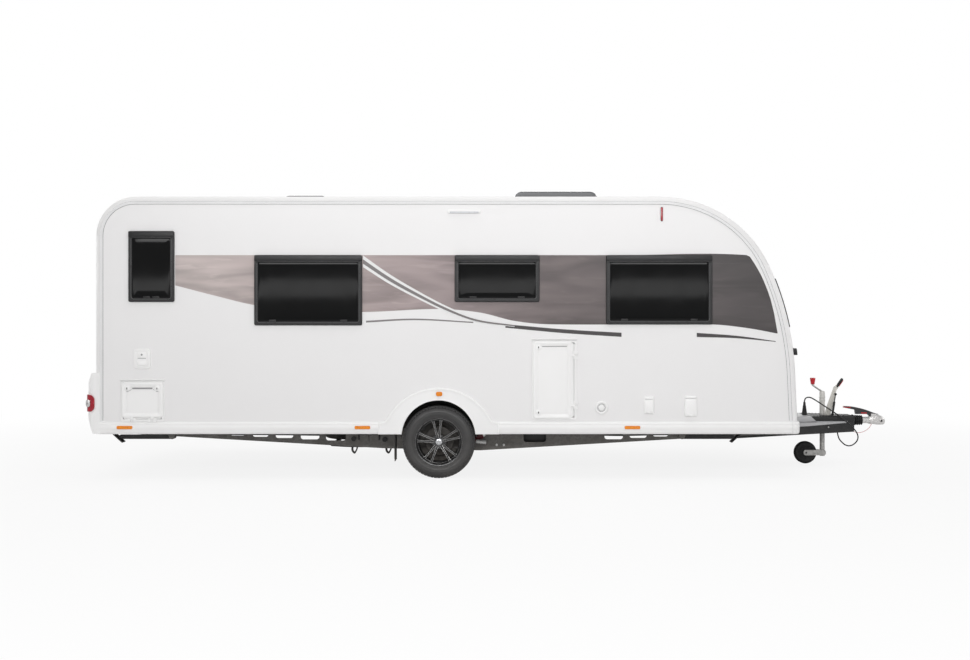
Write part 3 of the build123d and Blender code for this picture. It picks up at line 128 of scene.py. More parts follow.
FLOOR_REACH = 30.0
FLOOR_THICK = 0.02
FADE_FROM = 4.0
FADE_TO = 9.0
LEAST_FADE = 0.86
floor_material, w, out = open_material("studio_floor")
place = w.put("ShaderNodeTexCoord").outputs["Object"]
far = w.put("ShaderNodeVectorMath", operation="LENGTH", i0=place).outputs["Value"]
fade = w.sums("MULTIPLY", background_ray(w), w.span(far, FADE_FROM, FADE_TO, LEAST_FADE, 1.0))
matt = w.put("ShaderNodeBsdfDiffuse", Color=(0.74, 0.74, 0.735, 1))
white = w.put("ShaderNodeEmission", Color=(1, 1, 1, 1), Strength=1.0)
floor_mix = w.put("ShaderNodeMixShader", i0=fade, i1=matt.outputs[0], i2=white.outputs[0])
w.feed(floor_mix.outputs[0], out.inputs["Surface"])
slab = ((-FLOOR_REACH, -FLOOR_REACH, -FLOOR_THICK), (FLOOR_REACH, FLOOR_REACH, 0.0))
studio_floor = add("studio_floor", boxes("studio_floor", slab))
studio_floor.data.materials.append(floor_material)

world = bpy.data.worlds.new("studio")
scene.world = world
world.use_nodes = True
world.node_tree.nodes.clear()
w = Nodes(world.node_tree)
room = w.put("ShaderNodeBackground", Color=(1.0, 0.99, 0.99, 1), Strength=0.37)
bright = w.put("ShaderNodeBackground", Color=(1, 1, 1, 1), Strength=1.0)
sky = w.put("ShaderNodeMixShader", i0=background_ray(w), i1=room.outputs[0], i2=bright.outputs[0])
w.feed(sky.outputs[0], w.put("ShaderNodeOutputWorld").inputs["Surface"])

SOFT_BOXES = [
    # name, place, aimed at, width, height, watts
    ("overhead", (-0.5, -1.2, 6.5), (0.0, -0.4, 0.0), 11.0, 5.0, 215.0),
    ("near_side", (-0.4, -9.5, 3.9), (0.2, 0.0, 0.8), 11.0, 1.6, 350.0),
    ("far_side", (0.4, 9.5, 3.9), (0.2, 0.0, 0.8), 11.0, 1.6, 350.0),
    ("nose", (10.5, 0.0, 3.4), (0.0, 0.0, 1.2), 7.0, 3.4, 150.0),
    ("tail", (-10.5, 0.0, 3.4), (0.0, 0.0, 1.2), 7.0, 3.4, 150.0),
    ("strip", (0.0, -12.2, 2.03), (0.0, 0.0, 1.9), 24.0, 0.34, 72.0),
    ("far_strip", (0.0, 12.2, 2.03), (0.0, 0.0, 1.9), 24.0, 0.34, 72.0),
]
for name, place, aim, width, height, watts in SOFT_BOXES:
    lamp = bpy.data.lights.new(name, "AREA")
    lamp.shape = "RECTANGLE"
    lamp.size = width
    lamp.size_y = height
    lamp.energy = watts
    obj = add(name, lamp)
    turn = (Vector(aim) - Vector(place)).to_track_quat("-Z", "Y")
    obj.matrix_world = Matrix.Translation(place) @ turn.to_matrix().to_4x4()
    obj.visible_camera = False

CAMERA_PLACE = (-0.198, -10.79, 1.35)
camera = add("camera", bpy.data.cameras.new("camera"))
camera.data.sensor_width = 36.0
camera.data.lens = 41.2
camera.data.shift_y = -0.0058
camera.data.clip_end = 200.0
camera.matrix_world = Matrix.Translation(CAMERA_PLACE) @ Matrix.Rotation(math.pi / 2, 4, "X")
scene.camera = camera

# Chassis: two tapered rails of galvanised sheet steel with lightening holes, bolted cross members and
# steady brackets. The zinc shows its crystals, and road dirt settles low down.
# Steadies of black pressed steel hang folded at its four corners.


def open_group(name, inputs, outputs):
    """A new shader group with named sockets."""
    kinds = {"colour": "NodeSocketColor", "value": "NodeSocketFloat"}
    tree = bpy.data.node_groups.new(name, "ShaderNodeTree")
    for label, kind in inputs:
        tree.interface.new_socket(label, in_out="INPUT", socket_type=kinds[kind])
    for label, kind in outputs:
        tree.interface.new_socket(label, in_out="OUTPUT", socket_type=kinds[kind])
    wires = Nodes(tree)
    return tree, wires, wires.put("NodeGroupInput").outputs, wires.put("NodeGroupOutput").inputs


surface_tone, w, given, gives = open_group(
    "surface_tone",
    [("Colour", "colour"), ("Shade", "value"), ("Rough", "value"), ("Rough Spread", "value"),
     ("Scale", "value"), ("Grain Scale", "value")],
    [("Colour", "colour"), ("Rough", "value"), ("Grain", "value")],
)
spot = w.put("ShaderNodeTexCoord").outputs["Object"]
cloud = w.put("ShaderNodeTexNoise", Vector=spot, Scale=given["Scale"], Detail=4.0).outputs["Fac"]
smear = w.put("ShaderNodeTexNoise", Vector=spot, Scale=w.sums("MULTIPLY", given["Scale"], 2.7), Detail=3.0)
swing = w.sums("SUBTRACT", w.span(cloud, 0.25, 0.75), 0.5)
tint = w.sums("ADD", 1.0, w.sums("MULTIPLY", swing, given["Shade"]))
scaled = w.put("ShaderNodeVectorMath", operation="SCALE", i0=given["Colour"], Scale=tint)
w.feed(scaled.outputs[0], gives["Colour"])
rub = w.sums("SUBTRACT", w.span(smear.outputs["Fac"], 0.3, 0.7), 0.5)
w.feed(w.sums("ADD", given["Rough"], w.sums("MULTIPLY", rub, given["Rough Spread"])), gives["Rough"])
grain = w.put("ShaderNodeTexNoise", Vector=spot, Scale=given["Grain Scale"], Detail=2.0)
w.feed(grain.outputs["Fac"], gives["Grain"])

road_dust, w, given, gives = open_group(
    "road_dust",
    [("Colour", "colour"), ("Dust Colour", "colour"), ("Amount", "value"), ("High", "value")],
    [("Colour", "colour"), ("Mask", "value")],
)
spot = w.put("ShaderNodeTexCoord").outputs["Object"]
height = w.put("ShaderNodeSeparateXYZ", Vector=spot).outputs["Z"]
low_down = w.span(height, given["High"], 0.0, 0.0, 1.0)
patch = w.put("ShaderNodeTexNoise", Vector=spot, Scale=9.0, Detail=6.0, Roughness=0.7).outputs["Fac"]
mask = w.sums("MULTIPLY", w.sums("MULTIPLY", low_down, w.span(patch, 0.3, 0.75)), given["Amount"])
w.feed(w.mix(mask, given["Colour"], given["Dust Colour"]), gives["Colour"])
w.feed(mask, gives["Mask"])

edge_wear, w, given, gives = open_group(
    "edge_wear",
    [("Colour", "colour"), ("Bare Colour", "colour"), ("Amount", "value"), ("Width", "value")],
    [("Colour", "colour"), ("Mask", "value")],
)
eased = w.put("ShaderNodeBevel", samples=4, Radius=given["Width"]).outputs[0]
face = w.put("ShaderNodeNewGeometry").outputs["Normal"]
along = w.put("ShaderNodeVectorMath", operation="DOT_PRODUCT", i0=eased, i1=face).outputs["Value"]
spot = w.put("ShaderNodeTexCoord").outputs["Object"]
chips = w.put("ShaderNodeTexNoise", Vector=spot, Scale=60.0, Detail=4.0).outputs["Fac"]
mask = w.sums("MULTIPLY", w.span(along, 0.995, 0.9), w.span(chips, 0.4, 0.6))
mask = w.sums("MULTIPLY", mask, given["Amount"])
w.feed(w.mix(mask, given["Colour"], given["Bare Colour"]), gives["Colour"])
w.feed(mask, gives["Mask"])

zinc_crystals, w, given, gives = open_group(
    "zinc_crystals",
    [("Colour", "colour"), ("Rough", "value")],
    [("Colour", "colour"), ("Rough", "value")],
)
spot = w.put("ShaderNodeTexCoord").outputs["Object"]
cells = w.put("ShaderNodeTexVoronoi", Vector=spot, Scale=55.0).outputs["Color"]
cell = w.put("ShaderNodeSeparateColor", Color=cells).outputs[0]
fleck = w.span(cell, 0.0, 1.0, 0.8, 1.12)
scaled = w.put("ShaderNodeVectorMath", operation="SCALE", i0=given["Colour"], Scale=fleck)
w.feed(scaled.outputs[0], gives["Colour"])
w.feed(w.sums("ADD", given["Rough"], w.span(cell, 0.0, 1.0, -0.08, 0.1)), gives["Rough"])

DUST_COLOUR = (0.30, 0.27, 0.235, 1)
DULLED_BY_DUST = 0.35
WORN_WIDTH = 0.004
GRAIN_DEPTH = 0.0006


def finish(name, colour, rough, shade=0.06, spread=0.1, scale=2.5, grain=0.0, grain_scale=500.0,
           dust=0.0, dust_high=0.5, wear=0.0, bare=(0.45, 0.44, 0.42, 1), zinc=False, **fixed):
    """A finish of this caravan: its colour, how it varies, its grain, dirt and wear."""
    material, w, out = open_material(name)
    shader = w.put("ShaderNodeBsdfPrincipled")
    for label, value in fixed.items():
        shader.inputs[label.replace("_", " ")].default_value = value
    tone = w.put("ShaderNodeGroup", node_tree=surface_tone, Colour=(*colour, 1), Shade=shade, Rough=rough,
                 Rough_Spread=spread, Scale=scale, Grain_Scale=grain_scale)
    shown = tone.outputs["Colour"]
    feel = tone.outputs["Rough"]
    if zinc:
        cells = w.put("ShaderNodeGroup", node_tree=zinc_crystals, Colour=shown, Rough=feel)
        shown = cells.outputs["Colour"]
        feel = cells.outputs["Rough"]
    if wear:
        worn = w.put("ShaderNodeGroup", node_tree=edge_wear, Colour=shown, Bare_Colour=bare, Amount=wear,
                     Width=WORN_WIDTH)
        shown = worn.outputs["Colour"]
    if dust:
        dirt = w.put("ShaderNodeGroup", node_tree=road_dust, Colour=shown, Dust_Colour=DUST_COLOUR,
                     Amount=dust, High=dust_high)
        shown = dirt.outputs["Colour"]
        feel = w.sums("ADD", feel, w.sums("MULTIPLY", dirt.outputs["Mask"], DULLED_BY_DUST))
    w.feed(shown, shader.inputs["Base Color"])
    w.feed(feel, shader.inputs["Roughness"])
    if grain:
        bump = w.put("ShaderNodeBump", Height=tone.outputs["Grain"], Strength=grain, Distance=GRAIN_DEPTH)
        w.feed(bump.outputs[0], shader.inputs["Normal"])
    w.feed(shader.outputs[0], out.inputs["Surface"])
    return material


def dress(material, *names):
    """Give carried-over pieces their finish."""
    for name in names:
        nodes[name].data.materials.clear()
        nodes[name].data.materials.append(material)


def piece(name, mesh, material, body, angle=32.0):
    """A finished piece: mesh in place, material on, moving with its body."""
    obj = add(name, mesh)
    mesh.materials.clear()
    mesh.materials.append(material)
    mesh.shade_smooth()
    mesh.set_sharp_from_angle(angle=math.radians(angle))
    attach(obj, body)
    return obj


def to_mesh(name, bm, closed=True):
    """Mesh from a working copy, with doubles merged and faces turned outwards."""
    bmesh.ops.remove_doubles(bm, verts=bm.verts, dist=1e-6)
    if closed:
        bmesh.ops.recalc_face_normals(bm, faces=bm.faces)
    mesh = bpy.data.meshes.new(name)
    bm.to_mesh(mesh)
    bm.free()
    return mesh


def gather(name, *meshes):
    """Several meshes as one."""
    bm = bmesh.new()
    for mesh in meshes:
        bm.from_mesh(mesh)
    return to_mesh(name, bm, closed=False)


def both_sides(*meshes):
    """Meshes and their mirror images across the caravan, as one."""
    bm = bmesh.new()
    bm.from_mesh(gather("half", *meshes))
    copy = bmesh.ops.duplicate(bm, geom=bm.verts[:] + bm.edges[:] + bm.faces[:])["geom"]
    for v in copy:
        if isinstance(v, bmesh.types.BMVert):
            v.co.y = -v.co.y
    bmesh.ops.reverse_faces(bm, faces=[f for f in copy if isinstance(f, bmesh.types.BMFace)])
    return to_mesh("both_sides", bm, closed=False)


def soft_box(low, high, r=0.004, segments=2):
    """Box with rounded edges."""
    bm = bmesh.new()
    bm.from_mesh(boxes("soft_box", (low, high)))
    bmesh.ops.bevel(bm, geom=bm.edges[:], offset=r, segments=segments, affect="EDGES", profile=0.5)
    return to_mesh("soft_box", bm)


def open_tree(name, inputs):
    """A new geometry tree with named inputs, and its closing nodes."""
    kinds = {"value": "NodeSocketFloat", "count": "NodeSocketInt", "vector": "NodeSocketVector",
             "material": "NodeSocketMaterial"}
    tree = bpy.data.node_groups.new(name, "GeometryNodeTree")
    tree.interface.new_socket("Geometry", in_out="INPUT", socket_type="NodeSocketGeometry")
    for label, kind in inputs:
        tree.interface.new_socket(label, in_out="INPUT", socket_type=kinds[kind])
    tree.interface.new_socket("Geometry", in_out="OUTPUT", socket_type="NodeSocketGeometry")
    wires = Nodes(tree)
    given = wires.put("NodeGroupInput").outputs
    real = wires.put("GeometryNodeRealizeInstances")
    coat = wires.put("GeometryNodeSetMaterial", Geometry=real.outputs[0], Material=given["Material"])
    wires.feed(coat.outputs[0], wires.put("NodeGroupOutput").inputs[0])
    return tree, wires, given, real.inputs[0]


def baked(obj):
    """Plain mesh of an object as its modifiers leave it."""
    depsgraph = bpy.context.evaluated_depsgraph_get()
    return bpy.data.meshes.new_from_object(obj.evaluated_get(depsgraph))


def grow(tree, mesh, **values):
    """Plain mesh that a geometry tree makes from a starting mesh and its inputs."""
    obj = add("grown", mesh)
    nodes_modifier = obj.modifiers.new("tree", "NODES")
    nodes_modifier.node_group = tree
    for item in tree.interface.items_tree:
        if item.in_out == "INPUT" and item.name in values:
            nodes_modifier[item.identifier] = values[item.name]
    made = baked(obj)
    bpy.data.objects.remove(obj)
    return made


fixing_heads, w, given, end = open_tree(
    "fixing_heads", [("Radius", "value"), ("Height", "value"), ("Sides", "count"), ("Material", "material")]
)
head = w.put("GeometryNodeMeshCylinder", Vertices=given["Sides"], Radius=given["Radius"],
             Depth=given["Height"])
aim = w.put("GeometryNodeInputNamedAttribute", data_type="FLOAT_VECTOR", Name="aim").outputs[0]
turn = w.put("FunctionNodeAlignRotationToVector", axis="Z", Vector=aim)
heads = w.put("GeometryNodeInstanceOnPoints", Points=given["Geometry"], Instance=head.outputs[0],
              Rotation=turn.outputs[0])
w.feed(heads.outputs[0], end)


def fixings(places, aim, radius, height, material, sides=6):
    """Bolt or screw heads standing on the given places, all facing one way."""
    mesh = bpy.data.meshes.new("fixings")
    mesh.from_pydata([Vector(p) + Vector(aim) * (height / 2) for p in places], [], [])
    layer = mesh.attributes.new("aim", "FLOAT_VECTOR", "POINT")
    for item in layer.data:
        item.vector = aim
    return grow(fixing_heads, mesh, Radius=radius, Height=height, Sides=sides, Material=material)


def tube(points, r, sides=12):
    """Round bar or pipe along a smooth line through a few points."""
    curve = bpy.data.curves.new("tube", "CURVE")
    curve.dimensions = "3D"
    curve.bevel_depth = r
    curve.bevel_resolution = max(1, sides // 4 - 1)
    curve.use_fill_caps = True
    spline = curve.splines.new("BEZIER")
    spline.bezier_points.add(len(points) - 1)
    for knot, p in zip(spline.bezier_points, points):
        knot.co = p
        knot.handle_left_type = "AUTO"
        knot.handle_right_type = "AUTO"
    obj = add("tube", curve)
    mesh = baked(obj)
    bpy.data.objects.remove(obj)
    return mesh


galvanised = finish("galvanised_steel", (0.185, 0.179, 0.172), 0.46, shade=0.12, spread=0.12, scale=4.0,
                    grain=0.1, dust=0.55, dust_high=0.45, zinc=True, Metallic=0.75)
black_steel = finish("black_steel", (0.022, 0.022, 0.023), 0.45, shade=0.3, scale=6.0, grain=0.25,
                     grain_scale=300.0, dust=0.35, dust_high=0.4, wear=0.6)
dress(galvanised, "chassis_rails", "cross_members")
dress(black_steel, "rear_left_steady", "rear_right_steady", "front_left_steady", "front_right_steady")
LEFTWARD = (0, 1, 0)
RAIL_FACE = 0.700
BRACKET_FACE = RAIL_FACE + 0.012
SMALL_BOLTS = [
    # x, z
    (-2.95, 0.395), (-2.72, 0.395), (-2.30, 0.372), (-0.86, 0.335), (-0.80, 0.270), (-0.12, 0.300),
    (-0.02, 0.275), (0.06, 0.275), (0.02, 0.330), (0.10, 0.365), (0.42, 0.365), (0.62, 0.350),
    (0.70, 0.305), (0.78, 0.350), (1.72, 0.392), (1.98, 0.390),
]
bolt_spots = [(x, RAIL_FACE, z) for x, z in SMALL_BOLTS]
bolt_heads = fixings(bolt_spots, LEFTWARD, 0.009, 0.008, galvanised)
washers = fixings(bolt_spots, LEFTWARD, 0.014, 0.003, galvanised, 20)
piece("rail_bolts", both_sides(bolt_heads, washers), galvanised, "caravan")
buffer_spots = [(-1.389, RAIL_FACE, 0.312), (-1.107, RAIL_FACE, 0.306)]
buffers = fixings(buffer_spots, LEFTWARD, 0.024, 0.016, black_steel, 24)
bracket = [
    soft_box((-1.35, RAIL_FACE, 0.345), (-1.15, BRACKET_FACE, 0.372)),
    soft_box((-1.35, RAIL_FACE, 0.300), (-1.335, BRACKET_FACE, 0.350)),
    soft_box((-1.165, RAIL_FACE, 0.300), (-1.15, BRACKET_FACE, 0.350)),
    soft_box((-1.256, RAIL_FACE, 0.290), (-1.250, BRACKET_FACE, 0.350), 0.002),
]
# Dark tubes along the inside of the rails are painted shade: they darken the top of each lightening hole,
# where the floor's underside casts shadow. A dark box sits behind the first hole.
SHADE_TUBE_Y = 0.668
SHADE_TUBE_R = 0.011
SHADE_TUBE_RUNS = [
    # x and z of the points along each run
    [(-2.62, 0.352), (-2.0, 0.349), (-1.62, 0.346), (-1.1, 0.372)],
    [(0.55, 0.372), (0.85, 0.346), (1.4, 0.349), (2.0, 0.356)],
]
underfloor_shade = [tube([(x, SHADE_TUBE_Y, z) for x, z in run], SHADE_TUBE_R) for run in SHADE_TUBE_RUNS]
underfloor_shade.append(soft_box((0.10, 0.40, 0.262), (0.42, 0.652, 0.4175), 0.02, 3))
piece("underfloor_shade_tubes", both_sides(*underfloor_shade), black_steel, "caravan")
piece("tank_brackets", both_sides(buffers, *bracket), black_steel, "caravan")

# Spare wheel cradle: black tube hooks under the rails that carry the ends of the two cradle bars.
# The spare lies flat on the bars, tyre and steel disc together.
HOOK_Y = 0.672
hanger = [(-1.60, 0.668, 0.251), (-1.45, HOOK_Y, 0.243), (-1.20, HOOK_Y, 0.243), (-1.06, 0.668, 0.251)]
cradle = [tube(hanger, 0.011)]
for x in (-1.40, -1.09):
    hook_down = [(x - 0.004, HOOK_Y, 0.246), (x - 0.004, HOOK_Y, 0.200), (x + 0.018, HOOK_Y, 0.176)]
    hook_up = [(x + 0.016, HOOK_Y, 0.178), (x + 0.034, HOOK_Y, 0.214), (x + 0.040, HOOK_Y, 0.243)]
    cradle += [tube(hook_down, 0.010), tube(hook_up, 0.007)]
piece("spare_cradle_hooks", both_sides(*cradle), black_steel, "caravan")
spare_rubber = finish("spare_rubber", (0.03, 0.03, 0.031), 0.75, shade=0.35, grain=0.5, grain_scale=220.0,
                      dust=0.8, dust_high=0.6)
dress(spare_rubber, "spare_wheel")
dress(black_steel, "spare_carrier")

# Axle: rubber torsion tube with trailing arms, stub axles and cast brake drums.
# A gas damper in dark red paint runs from each arm to the rail ahead of the wheel, on zinc-plated pins.


def lathe(profile, centre, axis, steps=64):
    """Turned mesh from radius and length pairs about an axis through a centre."""
    up = Vector(axis).normalized()
    out = up.orthogonal().normalized()
    bm = bmesh.new()
    ring = [bm.verts.new(Vector(centre) + out * r + up * h) for r, h in profile]
    edges = [bm.edges.new(pair) for pair in zip(ring, ring[1:])]
    bmesh.ops.spin(bm, geom=ring + edges, cent=centre, axis=up, angle=2 * math.pi, steps=steps,
                   use_merge=True)
    return to_mesh("turned", bm)


drum_iron = finish("drum_iron", (0.10, 0.095, 0.09), 0.6, shade=0.4, scale=14.0, grain=0.4,
                   grain_scale=260.0, dust=0.5, dust_high=0.5, Metallic=0.8)
dress(drum_iron, "left_brake_drum", "right_brake_drum")
dress(black_steel, "axle_tube", "swing_arms")
damper_red = finish("damper_red", (0.14, 0.012, 0.018), 0.35, shade=0.2, scale=8.0, dust=0.4, dust_high=0.4)
bright_steel = finish("bright_steel", (0.56, 0.56, 0.55), 0.3, shade=0.1, scale=8.0, dust=0.25,
                      dust_high=0.4, Metallic=1.0)
body_run = Vector((0.150, 0.0, 0.055))
foot = Vector((-0.375, 0.752, 0.292))
way = body_run.normalized()
long = body_run.length
damper_section = [
    # radius, distance along the damper
    (0, 0), (0.010, 0), (0.010, 0.05), (0.027, 0.055), (0.030, 0.06), (0.030, long), (0.024, long + 0.008),
    (0, long + 0.008),
]
damper = lathe(damper_section, foot, way, 28)
EYE_SECTION = [(0.006, -0.012), (0.016, -0.012), (0.016, 0.012), (0.006, 0.012), (0.006, -0.012)]
eye_spots = [foot + way * d for d in (-0.012, long + 0.016)]
eyes = [lathe(EYE_SECTION, at, LEFTWARD, 20) for at in eye_spots]
piece("dampers", both_sides(damper), damper_red, "caravan")
pins = [tube([(at.x, y, at.z) for y in (0.698, 0.725, 0.780)], 0.0055) for at in eye_spots]
pins.append(tube([(-0.240, y, 0.294) for y in (0.698, 0.750, 0.800)], 0.008))
piece("damper_eyes", both_sides(*eyes, *pins), bright_steel, "caravan")
zinc_plate = finish("zinc_plate", (0.80, 0.80, 0.79), 0.28, shade=0.06, scale=8.0, Metallic=0.25)
SLEEVE_SECTION = [
    # radius, distance along the sleeve
    (0, 0), (0.014, 0), (0.018, 0.003), (0.018, 0.026), (0.016, 0.028), (0.016, 0.036), (0.018, 0.038),
    (0.018, 0.090), (0.014, 0.093), (0, 0.093),
]
sleeve = lathe(SLEEVE_SECTION, (-0.279, 0.806, 0.298), (0.996, 0.0, -0.085), 28)
nut_spots = [(x, RAIL_FACE, 0.2555) for x in (-0.0917, -0.0270)]
rail_nuts = fixings(nut_spots, LEFTWARD, 0.012, 0.009, zinc_plate)
piece("axle_fixings", both_sides(sleeve, rail_nuts), zinc_plate, "caravan")

# Road wheels: radial tyres with blocked tread on cast alloy rims, dark lacquer with bare edges; the bright
# lines on the spoke edges and rim rings are bare metal and painted highlight both.
# Five bolts hold each rim to its drum, round a plain centre cap.
tread_blocks, w, given, end = open_tree(
    "tread_blocks",
    [("Radius", "value"), ("Blocks", "count"), ("Block", "vector"), ("Rows", "count"), ("Pitch", "value"),
     ("Material", "material")],
)
ring = w.put("GeometryNodeMeshCircle", Vertices=given["Blocks"], Radius=given["Radius"])
block = w.put("GeometryNodeMeshCube", Size=given["Block"])
outward = w.put("FunctionNodeAlignRotationToVector", axis="X", pivot_axis="Z",
                Vector=w.put("GeometryNodeInputPosition").outputs[0])
one_row = w.put("GeometryNodeInstanceOnPoints", Points=ring.outputs[0], Instance=block.outputs[0],
                Rotation=outward.outputs[0])
first = w.put("ShaderNodeMath", operation="MULTIPLY", i0=given["Pitch"], i1=-0.5)
start = w.put("ShaderNodeMath", operation="MULTIPLY", i0=first.outputs[0],
              i1=w.put("ShaderNodeMath", operation="SUBTRACT", i0=given["Rows"], i1=1.0).outputs[0])
rows = w.put("GeometryNodeMeshLine", Count=given["Rows"],
             Start_Location=w.put("ShaderNodeCombineXYZ", Z=start.outputs[0]).outputs[0],
             Offset=w.put("ShaderNodeCombineXYZ", Z=given["Pitch"]).outputs[0])
half_pitch = w.put("ShaderNodeMath", operation="DIVIDE", i0=math.pi, i1=given["Blocks"])
lag = w.put("ShaderNodeMath", operation="MULTIPLY", i0=w.put("GeometryNodeInputIndex").outputs[0],
            i1=half_pitch.outputs[0])
spin = w.put("FunctionNodeAxisAngleToRotation", Axis=(0, 0, 1), Angle=lag.outputs[0])
tread = w.put("GeometryNodeInstanceOnPoints", Points=rows.outputs[0], Instance=one_row.outputs[0],
              Rotation=spin.outputs[0])
w.feed(tread.outputs[0], end)

tyre_rubber = finish("tyre_rubber", (0.045, 0.044, 0.044), 0.42, shade=0.25, spread=0.12, scale=7.0,
                     grain=0.35, grain_scale=420.0, dust=0.10, dust_high=0.5)
dark_alloy = finish("dark_alloy", (0.040, 0.040, 0.041), 0.30, shade=0.12, scale=12.0, wear=0.9,
                    spread=0.06, bare=(0.30, 0.30, 0.31, 1), Metallic=0.4, Coat_Weight=0.35,
                    Coat_Roughness=0.15)
cap_silver = finish("cap_silver", (0.62, 0.63, 0.65), 0.25, shade=0.06, scale=20.0, Metallic=1.0)
TYRE_SECTION = [
    # radius, distance out from the middle of the tyre
    (0.196, 0.070), (0.205, 0.080), (0.214, 0.0855), (0.218, 0.0870), (0.222, 0.0868), (0.228, 0.0905),
    (0.240, 0.0958), (0.252, 0.0972), (0.255, 0.0966), (0.258, 0.0974), (0.268, 0.0966), (0.278, 0.0940),
    (0.288, 0.0895), (0.2885, 0.0875), (0.2925, 0.0868), (0.300, 0.0810), (0.307, 0.0730), (0.3105, 0.0640),
]
crown = [(TYRE_SECTION[-1][0], y) for y in (-0.03, 0.0, 0.03)]
section = [(r, -y) for r, y in TYRE_SECTION] + crown + TYRE_SECTION[::-1]
section.append(section[0])
bead_line, w, given, end = open_tree("bead_line",
                                     [("Radius", "value"), ("Sides", "count"), ("Material", "material")])
line = w.put("GeometryNodeMeshToCurve", Mesh=given["Geometry"])
ring = w.put("GeometryNodeCurvePrimitiveCircle", Resolution=given["Sides"], Radius=given["Radius"])
swept = w.put("GeometryNodeCurveToMesh", Curve=line.outputs[0], i1=ring.outputs[0])
swept.inputs["Fill Caps"].default_value = True
w.feed(swept.outputs[0], end)


def bead(points, radius, material, closed=False, sides=10):
    """Round bead or cord laid along a line of points."""
    mesh = bpy.data.meshes.new("bead")
    edges = [(k, k + 1) for k in range(len(points) - 1)]
    if closed:
        edges.append((len(points) - 1, 0))
    mesh.from_pydata([Vector(p) for p in points], edges, [])
    return grow(bead_line, mesh, Radius=radius, Sides=sides, Material=material)


BARREL = [
    # radius, distance out from the middle of the tyre
    (0.2075, 0.0865), (0.2080, 0.0885), (0.2060, 0.0898), (0.2000, 0.0880), (0.1960, 0.0800),
    (0.1900, 0.0640), (0.1850, 0.0500), (0.1790, 0.0400), (0.1740, 0.0300), (0.1720, 0.0000),
    (0.1740, -0.0300), (0.1880, -0.0500), (0.1950, -0.0750), (0.2030, -0.0835), (0.2080, -0.0830),
    (0.2070, -0.0800), (0.2000, -0.0780), (0.1920, -0.0500), (0.1780, -0.0280), (0.1765, 0.0000),
    (0.1780, 0.0320), (0.1890, 0.0480), (0.1990, 0.0720), (0.2040, 0.0845), (0.2075, 0.0865),
]
# Bright alloy for the spoke edges and rim rings: bare metal, and a painted highlight too.
glint_alloy = finish("glint_alloy", (0.36, 0.355, 0.35), 0.28, shade=0.1, scale=14.0, Metallic=0.8)
bolt_dark = finish("bolt_dark", (0.07, 0.07, 0.072), 0.3, shade=0.15, scale=30.0, Metallic=0.8)
BOLT_CIRCLE = 0.050
SPOKE_TURNS = [95 + 72 * k + lean for k in range(5) for lean in (-10.5, 10.5)]
SPOKE = [
    # distance from the hub, half width, face, depth
    (0.040, 0.0125, 0.0600, 0.030), (0.080, 0.0095, 0.0640, 0.032), (0.140, 0.0080, 0.0670, 0.034),
    (0.180, 0.0100, 0.0655, 0.030), (0.194, 0.0165, 0.0660, 0.026),
]


def bridge(bm, rows):
    """Faces from each closed loop of points to the next."""
    n = len(rows[0])
    for a, b in zip(rows, rows[1:]):
        for k in range(n):
            bm.faces.new((a[k], a[(k + 1) % n], b[(k + 1) % n], b[k]))


def skin(loops, ring=False):
    """Closed mesh over loops of points with as many points each, capped, or joined end to end as a ring."""
    bm = bmesh.new()
    rows = [[bm.verts.new(p) for p in loop] for loop in loops]
    if ring:
        bridge(bm, rows + rows[:1])
    else:
        bridge(bm, rows)
        bm.faces.new(rows[0])
        bm.faces.new(rows[-1])
    return to_mesh("skin", bm)


def spoke(hub, side, degrees):
    """Tapered spoke from the hub to the barrel, and the two bright lines along its edges, bare metal with a
    painted highlight.
    """
    turn = Matrix.Translation(hub) @ Matrix.Rotation(-math.radians(degrees), 4, "Y")
    loops = []
    lines = []
    for r, half, face, deep in SPOKE:
        flank = [(-half - 0.003, face - deep), (-half, face - 0.004), (-half + 0.003, face)]
        section = flank + [(-u, d) for u, d in flank[::-1]]
        loops.append([turn @ Vector((r, side * d, u)) for u, d in section])
        lines.append((r, half - 0.002, face - 0.0012))
    glints = []
    for way in (-1, 1):
        points = [turn @ Vector((r, side * d, way * u)) for r, u, d in lines]
        glints.append(bead(points, 0.0024, glint_alloy, sides=6))
    return skin(loops), glints


AXLE_X = -0.603
HUB_Y = 0.982
TYRE_R = 0.318
TREADS = [
    # radius, size of a block, rows, from row to row
    (0.3135, (0.008, 0.0262, 0.0235), 5, 0.0275),
    (0.3055, (0.010, 0.020, 0.016), 2, 0.150),
]
BLOCKS_ROUND = 64
DISC = [
    # radius, distance out from the middle of the tyre, as in the tables below
    (0, 0.020), (0.062, 0.020), (0.066, 0.030), (0.062, 0.054), (0.054, 0.0585), (0.036, 0.060),
    (0.034, 0.052), (0, 0.052),
]
OUTER_RING = [(0.2050, 0.0892), (0.2062, 0.0899), (0.2074, 0.0892), (0.2062, 0.0886), (0.2050, 0.0892)]
INNER_RING = [(0.1850, 0.0540), (0.1866, 0.0552), (0.1880, 0.0540), (0.1866, 0.0528), (0.1850, 0.0540)]
CENTRE_CAP = [
    (0, 0.0665), (0.012, 0.0662), (0.024, 0.0645), (0.029, 0.0615), (0.031, 0.054), (0.031, 0.050),
    (0, 0.050),
]
GUARD = [
    (0.118, -0.112), (0.182, -0.104), (0.186, -0.100), (0.184, -0.098), (0.118, -0.106), (0.118, -0.112),
]
VALVE = [
    # radius, distance along the valve
    (0, 0), (0.006, 0), (0.005, 0.022), (0.0042, 0.024), (0.0042, 0.034), (0, 0.035),
]
